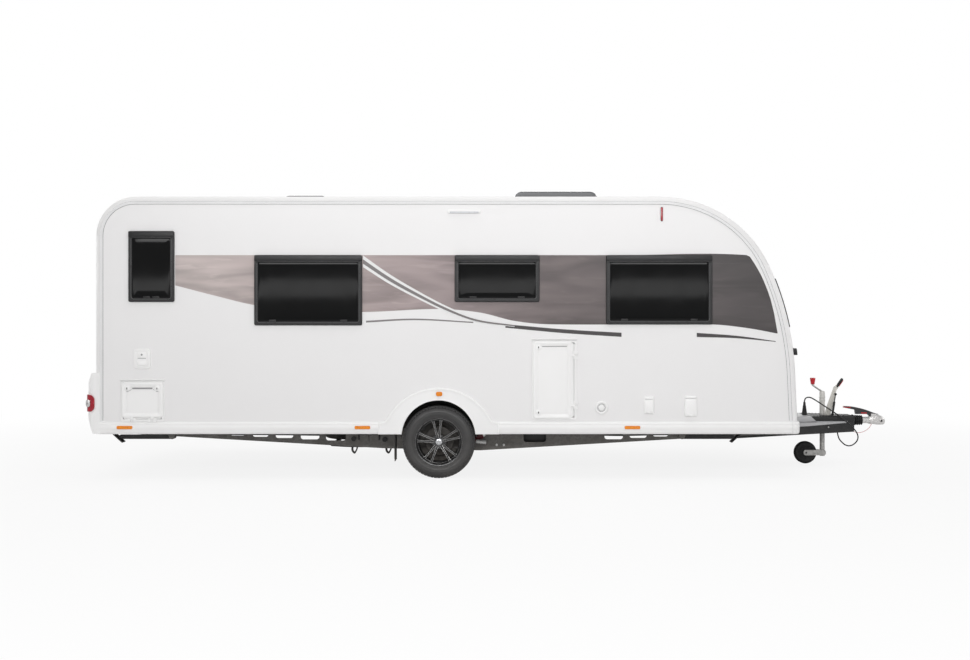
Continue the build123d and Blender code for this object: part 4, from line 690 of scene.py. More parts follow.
for side, name in ((1, "left"), (-1, "right")):
    hub = Vector((AXLE_X, side * HUB_Y, TYRE_R))
    facing = (0, side, 0)
    body = name + "_wheel"
    rubber = [lathe(section, hub, LEFTWARD, 96)]
    for radius, block, rows, pitch in TREADS:
        ring = grow(tread_blocks, bpy.data.meshes.new("empty"), Radius=radius, Blocks=BLOCKS_ROUND,
                    Block=block, Rows=rows, Pitch=pitch, Material=tyre_rubber)
        ring.transform(Matrix.Translation(hub) @ Matrix.Rotation(math.pi / 2, 4, "X"))
        rubber.append(ring)
    tyre = piece(name + "_road_tyre", gather("tyre", *rubber), tyre_rubber, body)
    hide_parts(name + "_tyre")
    spokes = [spoke(hub, side, degrees) for degrees in SPOKE_TURNS]
    cast = [lathe(BARREL, hub, facing, 96), lathe(DISC, hub, facing, 64)]
    cast += [bar for bar, glints in spokes]
    rim = piece(name + "_cast_rim", gather("rim", *cast), dark_alloy, body)
    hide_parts(name + "_rim")
    # The rim rings and the spoke edges in bright alloy: bare metal with a painted highlight.
    bare = [lathe(OUTER_RING, hub, facing, 96), lathe(INNER_RING, hub, facing, 96)]
    bare += [glint for bar, glints in spokes for glint in glints]
    piece(name + "_rim_glints", gather("glints", *bare), glint_alloy, body)
    spots = []
    for k in range(5):
        a = math.radians(90 + 72 * k + 36)
        spots.append(hub + Vector((BOLT_CIRCLE * math.cos(a), side * 0.0575, BOLT_CIRCLE * math.sin(a))))
    heads = fixings(spots, facing, 0.0085, 0.008, bolt_dark)
    seats = fixings(spots, facing, 0.0120, 0.0025, bolt_dark, 20)
    piece(name + "_wheel_bolts", gather("wheel_bolts", heads, seats), bolt_dark, body)
    piece(name + "_hub_cap", lathe(CENTRE_CAP, hub, facing, 40), cap_silver, body)
    valve_foot = hub + Vector((0.168, side * 0.058, -0.052))
    valve = lathe(VALVE, valve_foot, (-0.85, side * 0.45, 0.2), 16)
    piece(name + "_valve", valve, tyre_rubber, body)
    piece(name + "_brake_guard", lathe(GUARD, hub, facing, 56), drum_iron, "caravan")

# Mud flaps: thin rubber sheets hung from the floor behind each wheel.
# Upright ribs moulded into the back stop them folding in the wind of the road.
flap_rubber = finish("flap_rubber", (0.035, 0.034, 0.034), 0.7, shade=0.3, scale=12.0, grain=0.4, dust=0.7,
                     dust_high=0.5)
RIB_PITCH = 0.029
flap = [soft_box((-0.990, 0.886, 0.150), (-0.984, 1.070, 0.4185), 0.002)]
for k in range(6):
    y = 0.905 + RIB_PITCH * k
    flap.append(soft_box((-0.993, y, 0.170), (-0.989, y + 0.010, 0.370), 0.0015))
piece("mud_flaps", both_sides(*flap), flap_rubber, "caravan")

# Shell: flat side walls, a rounded roof and a bowed front, bonded panels under white gelcoat.
# Extruded aluminium awning rails cap the edges of the walls, with a groove for the bead of an awning.
white_gelcoat = finish("white_gelcoat", (0.828, 0.822, 0.824), 0.36, shade=0.012, spread=0.02, scale=0.5,
                       grain=0.04, grain_scale=40.0, Coat_Weight=0.1, Coat_Roughness=0.2)
white_rail = finish("white_rail", (0.83, 0.83, 0.835), 0.36, shade=0.04, spread=0.06, scale=3.0, grain=0.05)
floor_board = finish("floor_board", (0.09, 0.085, 0.08), 0.8, shade=0.3, scale=5.0, grain=0.5,
                     grain_scale=160.0, dust=0.4, dust_high=0.6)
# The roof's gelcoat is matte, and its colour, a little darker than the walls', is painted shade against the
# light from above.
shaded_roof_gelcoat = finish("shaded_roof_gelcoat", (0.80, 0.795, 0.795), 0.72, shade=0.02, spread=0.03, scale=0.5,
                      grain=0.12, grain_scale=180.0, Specular_IOR_Level=0.15)
dress(white_gelcoat, "left_side_wall", "right_side_wall", "front_panel", "rear_panel")
dress(shaded_roof_gelcoat, "roof_panel")
dress(white_rail, "awning_rails")
dress(floor_board, "floor_panel")
WALL_FACE = 1.112
CROWN_R = 6.0
CROWN_X = 2.636 - CROWN_R
BOWED_FROM = 1.0
RAIL_SHADE_PLACES = [
    # in from the outline, out from the middle
    (0.0470, 1.1125), (0.0715, 1.1128),
]


def on_wall(outline, y):
    """Points of a flat outline laid on a side wall."""
    return [(x, y, z) for x, z in outline]


WALL_FOOT = 0.512
TAIL_X = -3.600
ROOF_Z = 2.469
TAIL_R = 0.348
BROW_X = 1.4531
BROW_R = 1.028
BROW_TURN = math.radians(66.0)
CHEEK_R = 2.598
CHEEK_TURN = math.radians(87.5)


def wall_edge(inset):
    """Line on the left wall, in from its outline, from the tail over the roof to the foot of the nose."""
    line = [(TAIL_X + inset, WALL_FOOT)]
    tail_mid = (TAIL_X + TAIL_R, ROOF_Z - TAIL_R)
    for k in range(13):
        a = math.pi - math.pi / 2 * k / 12
        line.append((tail_mid[0] + (TAIL_R - inset) * math.cos(a),
                     tail_mid[1] + (TAIL_R - inset) * math.sin(a)))
    brow = Vector((BROW_X, ROOF_Z - BROW_R))
    cheek = brow + Vector((math.sin(BROW_TURN), math.cos(BROW_TURN))) * (BROW_R - CHEEK_R)
    arcs = ((brow, BROW_R, 0.0, BROW_TURN, 24), (cheek, CHEEK_R, BROW_TURN, CHEEK_TURN, 12))
    for middle, r, a0, a1, steps in arcs:
        for k in range(steps):
            a = a0 + (a1 - a0) * k / steps
            line.append((middle.x + (r - inset) * math.sin(a), middle.y + (r - inset) * math.cos(a)))
    end = cheek + Vector((math.sin(CHEEK_TURN), math.cos(CHEEK_TURN))) * (CHEEK_R - inset)
    line += [tuple(end), (end.x + (end.y - WALL_FOOT) / math.tan(CHEEK_TURN), WALL_FOOT)]
    bowed = []
    for x, z in line:
        far = x - CROWN_X
        bowed.append((CROWN_X + math.sqrt(far ** 2 - WALL_FACE ** 2) if x > BOWED_FROM else x, z))
    return bowed


# Dark grey beads along both edges of each awning rail are painted shade in the gap between rail and wall.
rail_shade = finish("rail_shade", (0.26, 0.26, 0.265), 0.6, shade=0.1, scale=6.0, grain=0.1)
shade_beads = [bead(on_wall(wall_edge(d), y), 0.0017, rail_shade) for d, y in RAIL_SHADE_PLACES]
piece("rail_edge_shade", both_sides(*shade_beads), rail_shade, "caravan")

# Side graphic: printed film on both walls, a warm grey sweep that darkens towards the front.
# A grey line between two white ones crosses it, and a dark pinstripe runs on below.
film, w, out = open_material("side_film")
spot = w.put("ShaderNodeTexCoord").outputs["Object"]
along = w.put("ShaderNodeSeparateXYZ", Vector=spot)
share = w.put("ShaderNodeMapRange", i0=along.outputs["X"], i1=-2.9, i2=2.35).outputs[0]
ramp = w.put("ShaderNodeValToRGB", Fac=share)
stops = ramp.color_ramp.elements
stops[0].color = (0.50, 0.435, 0.42, 1)
stops[1].position = 0.30
stops[1].color = (0.36, 0.295, 0.29, 1)
DARKENING = [
    # share of the way to the front, colour
    (0.46, (0.27, 0.22, 0.22, 1)),
    (0.62, (0.14, 0.115, 0.115, 1)),
    (0.95, (0.062, 0.054, 0.055, 1)),
]
for place, colour in DARKENING:
    stop = stops.new(place)
    stop.color = colour
turn = w.put("ShaderNodeMapping", Vector=spot, Rotation=(0.0, 0.42, 0.0), Scale=(0.55, 1.0, 3.4))
flow = w.put("ShaderNodeTexNoise", Vector=turn.outputs[0], Scale=1.7, Detail=2.0,
             Distortion=0.7).outputs["Fac"]
streak = w.put("ShaderNodeTexNoise", Vector=turn.outputs[0], Scale=6.5, Detail=3.0,
               Distortion=0.4).outputs["Fac"]
glow = w.sums("ADD", w.span(flow, 0.3, 0.7, 0.72, 1.22), w.span(streak, 0.55, 0.75, 0.0, 0.22))
lit = w.put("ShaderNodeVectorMath", operation="SCALE", i0=ramp.outputs[0], Scale=glow)
dots = w.put("ShaderNodeTexNoise", Vector=spot, Scale=900.0, Detail=1.0)
relief = w.put("ShaderNodeBump", Height=dots.outputs["Fac"], Strength=0.05, Distance=0.0003)
printed = w.put("ShaderNodeBsdfPrincipled", Base_Color=lit.outputs[0],
                Roughness=w.span(flow, 0.2, 0.8, 0.34, 0.46), Normal=relief.outputs[0])
w.feed(printed.outputs[0], out.inputs["Surface"])
film_dark = finish("film_dark", (0.055, 0.05, 0.051), 0.42, shade=0.08, scale=4.0, grain=0.05)
film_grey = finish("film_grey", (0.20, 0.185, 0.185), 0.42, shade=0.08, scale=4.0, grain=0.05)
film_white = finish("film_white", (0.80, 0.80, 0.80), 0.36, shade=0.02, scale=4.0, grain=0.05)


def through(points, x):
    """Height of a smooth line through a few points."""
    k = max(1, min(len(points) - 1, sum(1 for p in points if p[0] < x)))
    (x0, z0), (x1, z1) = points[k - 1], points[k]
    before = points[k - 2] if k > 1 else points[k - 1]
    after = points[k + 1] if k + 1 < len(points) else points[k]
    m0 = (z1 - before[1]) / (x1 - before[0])
    m1 = (after[1] - z0) / (after[0] - x0)
    t = (x - x0) / (x1 - x0)
    step = x1 - x0
    bow = (t ** 3 - 2 * t ** 2 + t) * step * m0 + (t ** 3 - t ** 2) * step * m1
    return z0 * (2 * t ** 3 - 3 * t ** 2 + 1) + z1 * (3 * t ** 2 - 2 * t ** 3) + bow


def film_sheet(name, low, high, gaps, lift, step=0.03):
    """Film between two lines on the wall, cut round the gaps, as a mesh for the left side."""
    start = max(low[0][0], high[0][0])
    stop = min(low[-1][0], high[-1][0])
    count = max(4, int((stop - start) / step))
    marks = [start + (stop - start) * k / count for k in range(count + 1)]
    marks += [x for gap in gaps for x in gap[:2] if start < x < stop]
    marks = sorted(set(marks))
    bm = bmesh.new()
    y = WALL_FACE + lift
    for a, b in zip(marks, marks[1:]):
        middle = (a + b) / 2
        holes = sorted(g[2:] for g in gaps if g[0] < middle < g[1])
        floors = [0.0] + [top for foot, top in holes]
        tops = [foot for foot, top in holes] + [9.0]
        for bottom, top in zip(floors, tops):
            ends = [(x, max(bottom, through(low, x)), min(top, through(high, x))) for x in (a, b)]
            if all(z1 > z0 + 1e-4 for x, z0, z1 in ends):
                (xa, la, ha), (xb, lb, hb) = ends
                corners = ((xb, y, lb), (xa, y, la), (xa, y, ha), (xb, y, hb))
                bm.faces.new([bm.verts.new(p) for p in corners])
    return to_mesh(name, bm, closed=False)


def near_side(*meshes):
    """Meshes made for the left wall turned over to the right wall, as one."""
    mesh = gather("near_side", *meshes)
    mesh.transform(Matrix.Scale(-1, 4, LEFTWARD))
    mesh.flip_normals()
    return mesh


def swatch(name, material, low, high, lift, left_gaps, right_gaps):
    """A film on the left wall and its mirror image on the right, each cut round its own windows."""
    left = film_sheet(name, low, high, left_gaps, lift)
    right = near_side(film_sheet(name, low, high, right_gaps, lift))
    return piece(name, gather(name, left, right), material, "caravan")


SIDE_WINDOWS = [
    # side, x0, x1, z0, z1
    (-1, -3.304, -2.904, 1.545, 2.163),
    (-1, -2.208, -1.268, 1.341, 1.954),
    (-1, -0.462, 0.277, 1.545, 1.954),
    (-1, 0.857, 1.782, 1.349, 1.954),
    (1, -2.208, -1.268, 1.341, 1.954),
    (1, 1.020, 1.782, 1.349, 1.954),
]
FRAME_LAP = 0.01
DOOR_GAP = (0.166, 0.804, 0.4, 2.3)
VENT_GAP = (-0.744, -0.236, 1.396, 1.644)
right_gaps = []
left_gaps = []
for side, x0, x1, z0, z1 in SIDE_WINDOWS:
    gaps = left_gaps if side > 0 else right_gaps
    gaps.append((x0 + FRAME_LAP, x1 - FRAME_LAP, z0 + FRAME_LAP, z1 - FRAME_LAP))
left_gaps += [DOOR_GAP, VENT_GAP]
SWEEP_LOW = [
    # x, z along the foot of the sweep
    (-2.898, 1.690), (-2.55, 1.600), (-2.208, 1.519), (-1.75, 1.470), (-1.259, 1.458), (-0.602, 1.484),
    (-0.242, 1.453), (0.06, 1.380), (0.367, 1.351), (1.782, 1.349), (2.10, 1.316), (2.352, 1.270),
]
SWEEP_HIGH = [
    # x, z along its top
    (-2.898, 1.9535), (-1.0, 1.9535), (1.0, 1.9535), (2.09, 1.9535), (2.160, 1.865), (2.225, 1.745),
    (2.290, 1.575), (2.330, 1.410), (2.353, 1.274),
]
SWEEP_LIFT = 0.0006
STRIPE_LIFT = 0.0008
LINE_LIFT = 0.0011
swatch("side_sweep", film, SWEEP_LOW, SWEEP_HIGH, SWEEP_LIFT, left_gaps, right_gaps)
LINE = [
    # x, z along the line that crosses the sweep
    (-1.262, 1.951), (-1.033, 1.790), (-0.807, 1.655), (-0.537, 1.512), (-0.276, 1.408), (0.060, 1.352),
]
LINE_WIDTHS = [
    # name, material, offset below the line, thickness at the top, thickness at the foot
    ("upper_white_line", film_white, 0.000, 0.034, 0.006),
    ("middle_grey_line", film_grey, 0.034, 0.038, 0.012),
    ("lower_white_line", film_white, 0.072, 0.030, 0.006),
]
for name, material, below, thick, thin in LINE_WIDTHS:
    shares = [k / (len(LINE) - 1) for k in range(len(LINE))]
    tops = [(x, z - below * (1 - 0.75 * s)) for (x, z), s in zip(LINE, shares)]
    feet = [(x, z - thick + (thick - thin) * s) for (x, z), s in zip(tops, shares)]
    swatch(name, material, feet, tops, LINE_LIFT, left_gaps, right_gaps)
PINSTRIPES = [
    # name, material, line, thickness at the rear, thickness at the front
    ("pinstripe_rear", film_dark, [(-0.02, 1.351), (0.489, 1.307), (0.992, 1.277)], 0.030, 0.036),
    ("pinstripe_front", film_dark, [(1.648, 1.276), (2.00, 1.250), (2.336, 1.204)], 0.036, 0.006),
    ("low_stripe", film_grey, [(-1.235, 1.382), (-0.80, 1.400), (-0.30, 1.372)], 0.016, 0.010),
]
for name, material, line, rear, front in PINSTRIPES:
    feet = [(x, z - rear + (rear - front) * k / (len(line) - 1)) for k, (x, z) in enumerate(line)]
    swatch(name, material, feet, line, STRIPE_LIFT, left_gaps, right_gaps)

# Skirts and arches: bright white vacuum-formed plastic along the foot of the walls and round the front.
# The skirt is ribbed, and each arch trim swells from it over the wheel, with a rolled lip inside.
white_trim = finish("white_trim", (0.885, 0.882, 0.88), 0.36, shade=0.03, spread=0.06, scale=1.6,
                    grain=0.08, grain_scale=700.0, dust=0.10, dust_high=0.55)
dress(white_trim, "side_skirts", "wheel_arch_trims")
SKIRT_SECTION = [
    # out from the wall face, height
    (-0.032, 0.418), (0.000, 0.418), (0.000, 0.5015), (0.005, 0.5010), (0.010, 0.4985), (0.0135, 0.4935),
    (0.0155, 0.4860), (0.0160, 0.4760), (0.0150, 0.4735), (0.0150, 0.4705), (0.0160, 0.4685),
    (0.0160, 0.4280), (0.0148, 0.4260), (0.0148, 0.4230), (0.0158, 0.4210), (0.0140, 0.4060),
    (0.0080, 0.3960), (0.0, 0.3930), (-0.032, 0.3930),
]


def sweep(section, path):
    """A section of distance out and height carried along a flat path of places and outward directions."""
    loops = []
    for place, out in path:
        loops.append([(place[0] + out[0] * d, place[1] + out[1] * d, z) for d, z in section])
    return skin(loops)


SKIRT_RUNS = [
    # x0, x1
    (-3.552, -1.128),
    (-0.078, 2.476),
]
skirts = [sweep(SKIRT_SECTION, [((x, WALL_FACE), (0, 1)) for x in run]) for run in SKIRT_RUNS]
CORNER_R = 0.048
nose_path = []
lean = math.asin((WALL_FACE - CORNER_R) / (CROWN_R - CORNER_R))
knee = (CROWN_X + (CROWN_R - CORNER_R) * math.cos(lean), WALL_FACE - CORNER_R)
nose_path.append(((2.478, WALL_FACE), (0.0, 1.0)))
for k in range(9):
    a = math.pi / 2 - (math.pi / 2 - lean) * k / 8
    way = (math.cos(a), math.sin(a))
    nose_path.append(((knee[0] + CORNER_R * way[0], knee[1] + CORNER_R * way[1]), way))
for k in range(1, 17):
    a = lean * (1 - k / 16)
    nose_path.append(((CROWN_X + CROWN_R * math.cos(a), CROWN_R * math.sin(a)), (math.cos(a), math.sin(a))))
half_nose = sweep(SKIRT_SECTION, nose_path)
skirt = piece("ribbed_skirts", both_sides(*skirts, half_nose), white_trim, "caravan")
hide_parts("side_skirts")

ARCH_MID = (AXLE_X, 0.285)
ARCH_OUT = 0.512
OPENING_MID = (AXLE_X, 0.366)
OPENING_R = 0.324
SWELL = 0.050
SEAM_WIDE = 0.030
TRIM_FOOT = 0.393
TRIM_SHOULDER = 0.500
ARCH_STEPS = 32


def arch_outline(out, inner, foot, skirt_top):
    """Half outline of an arch trim: up its seam, into the round, to the top, and back down inside."""
    rise = skirt_top + SWELL - ARCH_MID[1]
    reach = math.sqrt((out + SWELL) ** 2 - rise ** 2)
    turn = math.atan2(rise, reach)
    points = [(reach + SEAM_WIDE, foot), (reach + SEAM_WIDE, skirt_top), (reach, skirt_top)]
    for k in range(1, 9):
        a = -math.pi / 2 - (math.pi / 2 - turn) * k / 8
        points.append((reach + SWELL * math.cos(a), skirt_top + SWELL + SWELL * math.sin(a)))
    for k in range(1, 25):
        a = turn + (math.pi / 2 - turn) * k / 24
        points.append((out * math.cos(a), ARCH_MID[1] + out * math.sin(a)))
    low = math.asin((foot - OPENING_MID[1]) / inner)
    back = []
    for k in range(ARCH_STEPS + 1):
        a = math.pi / 2 - (math.pi / 2 - low) * k / ARCH_STEPS
        back.append((inner * math.cos(a), OPENING_MID[1] + inner * math.sin(a)))
    return points, back


def arch_skin(levels):
    """Arch trim as a skin carried through outlines at rising distances from the wall, for the left side."""
    bm = bmesh.new()
    loops = []
    for d, outside, inside in levels:
        front, back = arch_outline(ARCH_OUT - outside, OPENING_R + inside, TRIM_FOOT,
                                   TRIM_SHOULDER - outside)
        loops.append([bm.verts.new((AXLE_X + x, WALL_FACE + d, z)) for x, z in front + back])
    bridge(bm, loops)
    edge = len(loops[0]) - (ARCH_STEPS + 1)
    for loop in (loops[0], loops[-1]):
        inner = loop[edge:]
        outer = loop[:edge]
        for j in range(ARCH_STEPS):
            first = round((ARCH_STEPS - 1 - j) * (edge - 1) / ARCH_STEPS)
            last = round((ARCH_STEPS - j) * (edge - 1) / ARCH_STEPS)
            span = outer[first:last + 1]
            bm.faces.new([inner[j + 1], inner[j]] + span[::-1])
    bmesh.ops.recalc_face_normals(bm, faces=bm.faces)
    bmesh.ops.mirror(bm, geom=bm.verts[:] + bm.edges[:] + bm.faces[:], axis="X",
                     matrix=Matrix.Translation((-AXLE_X, 0, 0)), merge_dist=1e-5)
    return to_mesh("arch_skin", bm)


ARCH_LEVELS = [
    # out from the wall, drawn in at the outside, drawn in at the opening
    (-0.032, 0.0, 0.002), (0.014, 0.0, 0.0), (0.019, 0.002, -0.002), (0.022, 0.006, 0.001),
    (0.022, 0.016, 0.004), (0.0195, 0.020, 0.010), (0.0190, 0.030, 0.016),
]
arch = arch_skin(ARCH_LEVELS)
arches = piece("swelled_arches", both_sides(arch), white_trim, "caravan", 40.0)
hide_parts("wheel_arch_trims")
arch_black = finish("arch_black", (0.014, 0.014, 0.014), 0.75, shade=0.3, scale=9.0, grain=0.6,
                    grain_scale=180.0, dust=0.3, dust_high=0.9)
dress(arch_black, "wheel_boxes")
LIP_R = 0.330
LIP_Y = 1.082
lip = []
for k in range(41):
    a = math.pi * (k / 40)
    lip.append((AXLE_X + LIP_R * math.cos(a), LIP_Y, OPENING_MID[1] + LIP_R * math.sin(a)))
piece("arch_lips", both_sides(bead(lip, 0.007, arch_black)), arch_black, "caravan")

# Tail: one bumper moulding with lamp clusters let into its corners, a blank plate and reflectors.
# The lenses are moulded red plastic with silvered bowls and rings. Screws hold the plate to its holder.


def rounded(u0, u1, v0, v1, r, steps=6):
    """Outline of a rectangle with round corners."""
    points = []
    corners = ((u1 - r, v1 - r, 0), (u0 + r, v1 - r, 90), (u0 + r, v0 + r, 180), (u1 - r, v0 + r, 270))
    for cu, cv, start in corners:
        for k in range(steps + 1):
            a = math.radians(start + 90 * k / steps)
            points.append((cu + r * math.cos(a), cv + r * math.sin(a)))
    return points


def plate(outline, axis, a, b, r=0.0):
    """Flat shape given in the two other axes, made solid along one axis from a to b."""
    others = [k for k in range(3) if k != axis]
    bm = bmesh.new()
    ring = []
    for u, v in outline:
        co = [0.0, 0.0, 0.0]
        co[others[0]] = u
        co[others[1]] = v
        co[axis] = a
        ring.append(bm.verts.new(co))
    face = bm.faces.new(ring)
    moved = bmesh.ops.extrude_face_region(bm, geom=[face])["geom"]
    for v in moved:
        if isinstance(v, bmesh.types.BMVert):
            v.co[axis] = b
    bmesh.ops.recalc_face_normals(bm, faces=bm.faces)
    if r:
        rim = [e for e in bm.edges if all(abs(v.co[axis] - b) < 1e-7 for v in e.verts)]
        bmesh.ops.bevel(bm, geom=rim, offset=r, segments=2, affect="EDGES", profile=0.5)
    return to_mesh("plate", bm)


black_plastic = finish("black_plastic", (0.009, 0.009, 0.010), 0.40, shade=0.2, scale=6.0, grain=0.35,
                       grain_scale=900.0)
red_lens = finish("red_lens", (0.36, 0.008, 0.022), 0.14, shade=0.25, spread=0.05, scale=45.0, grain=0.12,
                  grain_scale=320.0, Coat_Weight=0.5, Coat_Roughness=0.05)
silver_bowl = finish("silver_bowl", (0.66, 0.65, 0.65), 0.22, shade=0.2, scale=30.0, grain=0.2,
                     grain_scale=260.0, Metallic=0.9)
plate_blank = finish("plate_blank", (0.78, 0.66, 0.16), 0.4, shade=0.05, scale=12.0, grain=0.12,
                     grain_scale=800.0)
dress(red_lens, "tail_lamps")
dress(white_trim, "rear_bumper")
TAIL_FACE = -3.673
LENS_FACE = -3.6865
PLATE_FACE = TAIL_FACE - 0.006
lamp_rings = []
for low, high, wide in ((0.612, 0.714, 0.0045), (0.640, 0.686, 0.0035)):
    ring = [(LENS_FACE + 0.001, y, z) for y, z in rounded(0.925, 1.040, low, high, 0.022)]
    lamp_rings.append(bead(ring, wide, silver_bowl, closed=True))
bowl = plate(rounded(-3.668, -3.632, 0.632, 0.694, 0.016), 1, 1.1392, 1.1415, 0.0015)
front = plate(rounded(0.950, 1.015, 0.650, 0.676, 0.012), 0, -3.6845, -3.6875, 0.001)
piece("tail_lamp_bowls", both_sides(bowl, front, *lamp_rings), silver_bowl, "caravan")
number_plate = soft_box((PLATE_FACE, -0.262, 0.600), (TAIL_FACE - 0.001, 0.262, 0.714), 0.002)
piece("number_plate", number_plate, plate_blank, "caravan")
plinth = soft_box((TAIL_FACE - 0.0015, -0.275, 0.588), (TAIL_FACE + 0.010, 0.275, 0.726), 0.004)
plate_lamps = [soft_box((-3.662, y - 0.045, 0.742), (-3.636, y + 0.045, 0.766), 0.006)
               for y in (-0.12, 0.12)]
screw_spots = [(PLATE_FACE, y, 0.657) for y in (-0.20, 0.20)]
plate_screws = fixings(screw_spots, (-1, 0, 0), 0.008, 0.003, black_plastic, 16)
holder = gather("plate_holder", plinth, plate_screws, *plate_lamps)
piece("plate_holder", holder, black_plastic, "caravan")
REFLECTOR_MID = (0.700, 0.652)
REFLECTOR_R = 0.086
triangle = []
for k in range(3):
    for swing in (-10, 10):
        a = math.radians(90 + 120 * k) + math.radians(swing)
        triangle.append((REFLECTOR_MID[0] + REFLECTOR_R * math.cos(a),
                         REFLECTOR_MID[1] + REFLECTOR_R * math.sin(a)))
reflector = plate(triangle, 0, TAIL_FACE + 0.004, PLATE_FACE, 0.002)
brake_bar = plate(rounded(-0.19, 0.19, 1.985, 2.020, 0.012), 0, -3.599, -3.612, 0.004)
corner_lamp = plate(rounded(0.955, 0.995, 1.86, 1.985, 0.014), 0, -3.599, -3.616, 0.005)
paired = both_sides(reflector, corner_lamp)
piece("rear_reflectors", gather("reflectors", paired, brake_bar), red_lens, "caravan")
rib_line = [(-3.6005, y, z) for y, z in rounded(-0.80, 0.80, 1.02, 1.90, 0.10)]
rear_rib = bead(rib_line, 0.006, white_gelcoat, closed=True, sides=12)
piece("rear_panel_rib", rear_rib, white_gelcoat, "caravan")
screw_caps = fixings([(-3.575, 1.1285, z) for z in (0.44, 0.88)], LEFTWARD, 0.008, 0.002, white_trim, 20)
piece("bumper_screw_caps", both_sides(screw_caps), white_trim, "caravan")

# Windows: blown double panes of smoked acrylic, hung from a bar along the top of black frames.
# Each pane rises from its rim to a flat face, and thin grey lines along the hinge bar and round the frame
# are painted highlights on their edges.
smoked = finish("smoked_acrylic", (0.0058, 0.0060, 0.0062), 0.06, shade=0.1, spread=0.02, scale=2.0,
                Specular_IOR_Level=0.16)
highlight_grey = finish("highlight_grey", (0.070, 0.070, 0.072), 0.32, shade=0.12, scale=10.0, grain=0.1)
dress(smoked, "window_panes", "door_window_pane")
dress(black_plastic, "window_frames", "door_window_frame")


def blown_pane(x0, x1, z0, z1, y, r=0.028):
    """Skin of a pane that rises quickly from its rim to a flat face, on the left side."""
    bm = bmesh.new()
    mid = Vector(((x0 + x1) / 2, (z0 + z1) / 2))
    steps = [(0.0, -0.004), (0.0, 0.0), (0.004, 0.0022), (0.012, 0.0036), (0.026, 0.0046)]
    loops = []
    for inset, rise in steps:
        outline = rounded(x0 + inset, x1 - inset, z0 + inset, z1 - inset, max(r - inset, 0.006))
        loops.append([bm.verts.new((u, y + rise, v)) for u, v in outline])
    for share in (0.8, 0.55, 0.3, 0.1):
        ring = [mid + (Vector(p) - mid) * share for p in outline]
        loops.append([bm.verts.new((at.x, y + rise, at.y)) for at in ring])
    bridge(bm, loops)
    bm.faces.new(loops[-1])
    bm.faces.new(loops[0])
    return to_mesh("blown_pane", bm)


def wall_ring(x0, x1, z0, z1, corner, y, radius, material, sides=10):
    """Closed bead round a rectangle with round corners on the left wall."""
    return bead(on_wall(rounded(x0, x1, z0, z1, corner), y), radius, material, closed=True, sides=sides)


panes = []
bars = []
highlight_lines = []
for side, x0, x1, z0, z1 in SIDE_WINDOWS:
    pane = [blown_pane(x0 + 0.030, x1 - 0.030, z0 + 0.030, z1 - 0.056, 1.1258)]
    bar = [soft_box((x0 + 0.002, 1.127, z1 - 0.052), (x1 - 0.002, 1.1375, z1 - 0.004), 0.005, 3),
           soft_box((x0 + 0.020, 1.128, z1 - 0.064), (x1 - 0.020, 1.1355, z1 - 0.055), 0.003)]
    for x in (x0 + 0.16, x1 - 0.16):
        bar.append(soft_box((x - 0.03, 1.126, z0 + 0.034), (x + 0.03, 1.1335, z0 + 0.050), 0.003))
    # Grey lines along the lower edge of the hinge bar and round the frame: painted highlights.
    lip = [bead([(x, 1.1365, z1 - 0.0535) for x in (x0 + 0.030, x1 - 0.030)], 0.0024, highlight_grey),
           wall_ring(x0 + 0.024, x1 - 0.024, z0 + 0.024, z1 - 0.050, 0.030, 1.1302, 0.0022, highlight_grey),
           wall_ring(x0 + 0.005, x1 - 0.005, z0 + 0.005, z1 - 0.005, 0.014, 1.1262, 0.0028, highlight_grey)]
    for bag, made in ((panes, pane), (bars, bar), (highlight_lines, lip)):
        bag.extend(made if side > 0 else [near_side(mesh) for mesh in made])
piece("blown_panes", gather("blown_panes", *panes), smoked, "caravan", 50.0)
piece("window_hinge_bars", gather("hinge_bars", *bars), black_plastic, "caravan")
piece("window_highlight_lines", gather("window_highlight_lines", *highlight_lines), highlight_grey, "caravan")

# Rooflights: moulded white frames bonded to the roof under tinted acrylic domes.
# Rows of ribs stiffen each dome, and clips at the ends of the frame hold it shut.
dome_grey = finish("dome_acrylic", (0.11, 0.113, 0.118), 0.2, shade=0.08, scale=5.0, Coat_Weight=0.3)
dress(dome_grey, "rooflight_domes")
dress(white_trim, "rooflight_rims")
DOMES = [
    # x, length, width, top
    (0.476, 0.821, 0.620, 2.613),
    (-1.916, 0.460, 0.460, 2.581),
]
ribs = []
clips = []
for x, length, width, top in DOMES:
    half = length / 2 - 0.11
    count = int(length / 0.13)
    for k in range(count):
        at = x - half + 2 * half * k / (count - 1)
        reach = width / 2 - 0.12
        ribs.append(bead([(at, y, top - 0.0015) for y in (-reach, reach)], 0.004, dome_grey))
    for sx in (-1, 1):
        for sy in (-0.6, 0.6):
            cx = x + sx * (length / 2 - 0.012)
            cy = sy * width / 2
            clips.append(soft_box((cx - 0.012, cy - 0.028, 2.480), (cx + 0.012, cy + 0.028, 2.500), 0.004))
piece("dome_ribs", gather("dome_ribs", *ribs), dome_grey, "caravan")
piece("rooflight_clips", gather("clips", *clips), white_trim, "caravan")

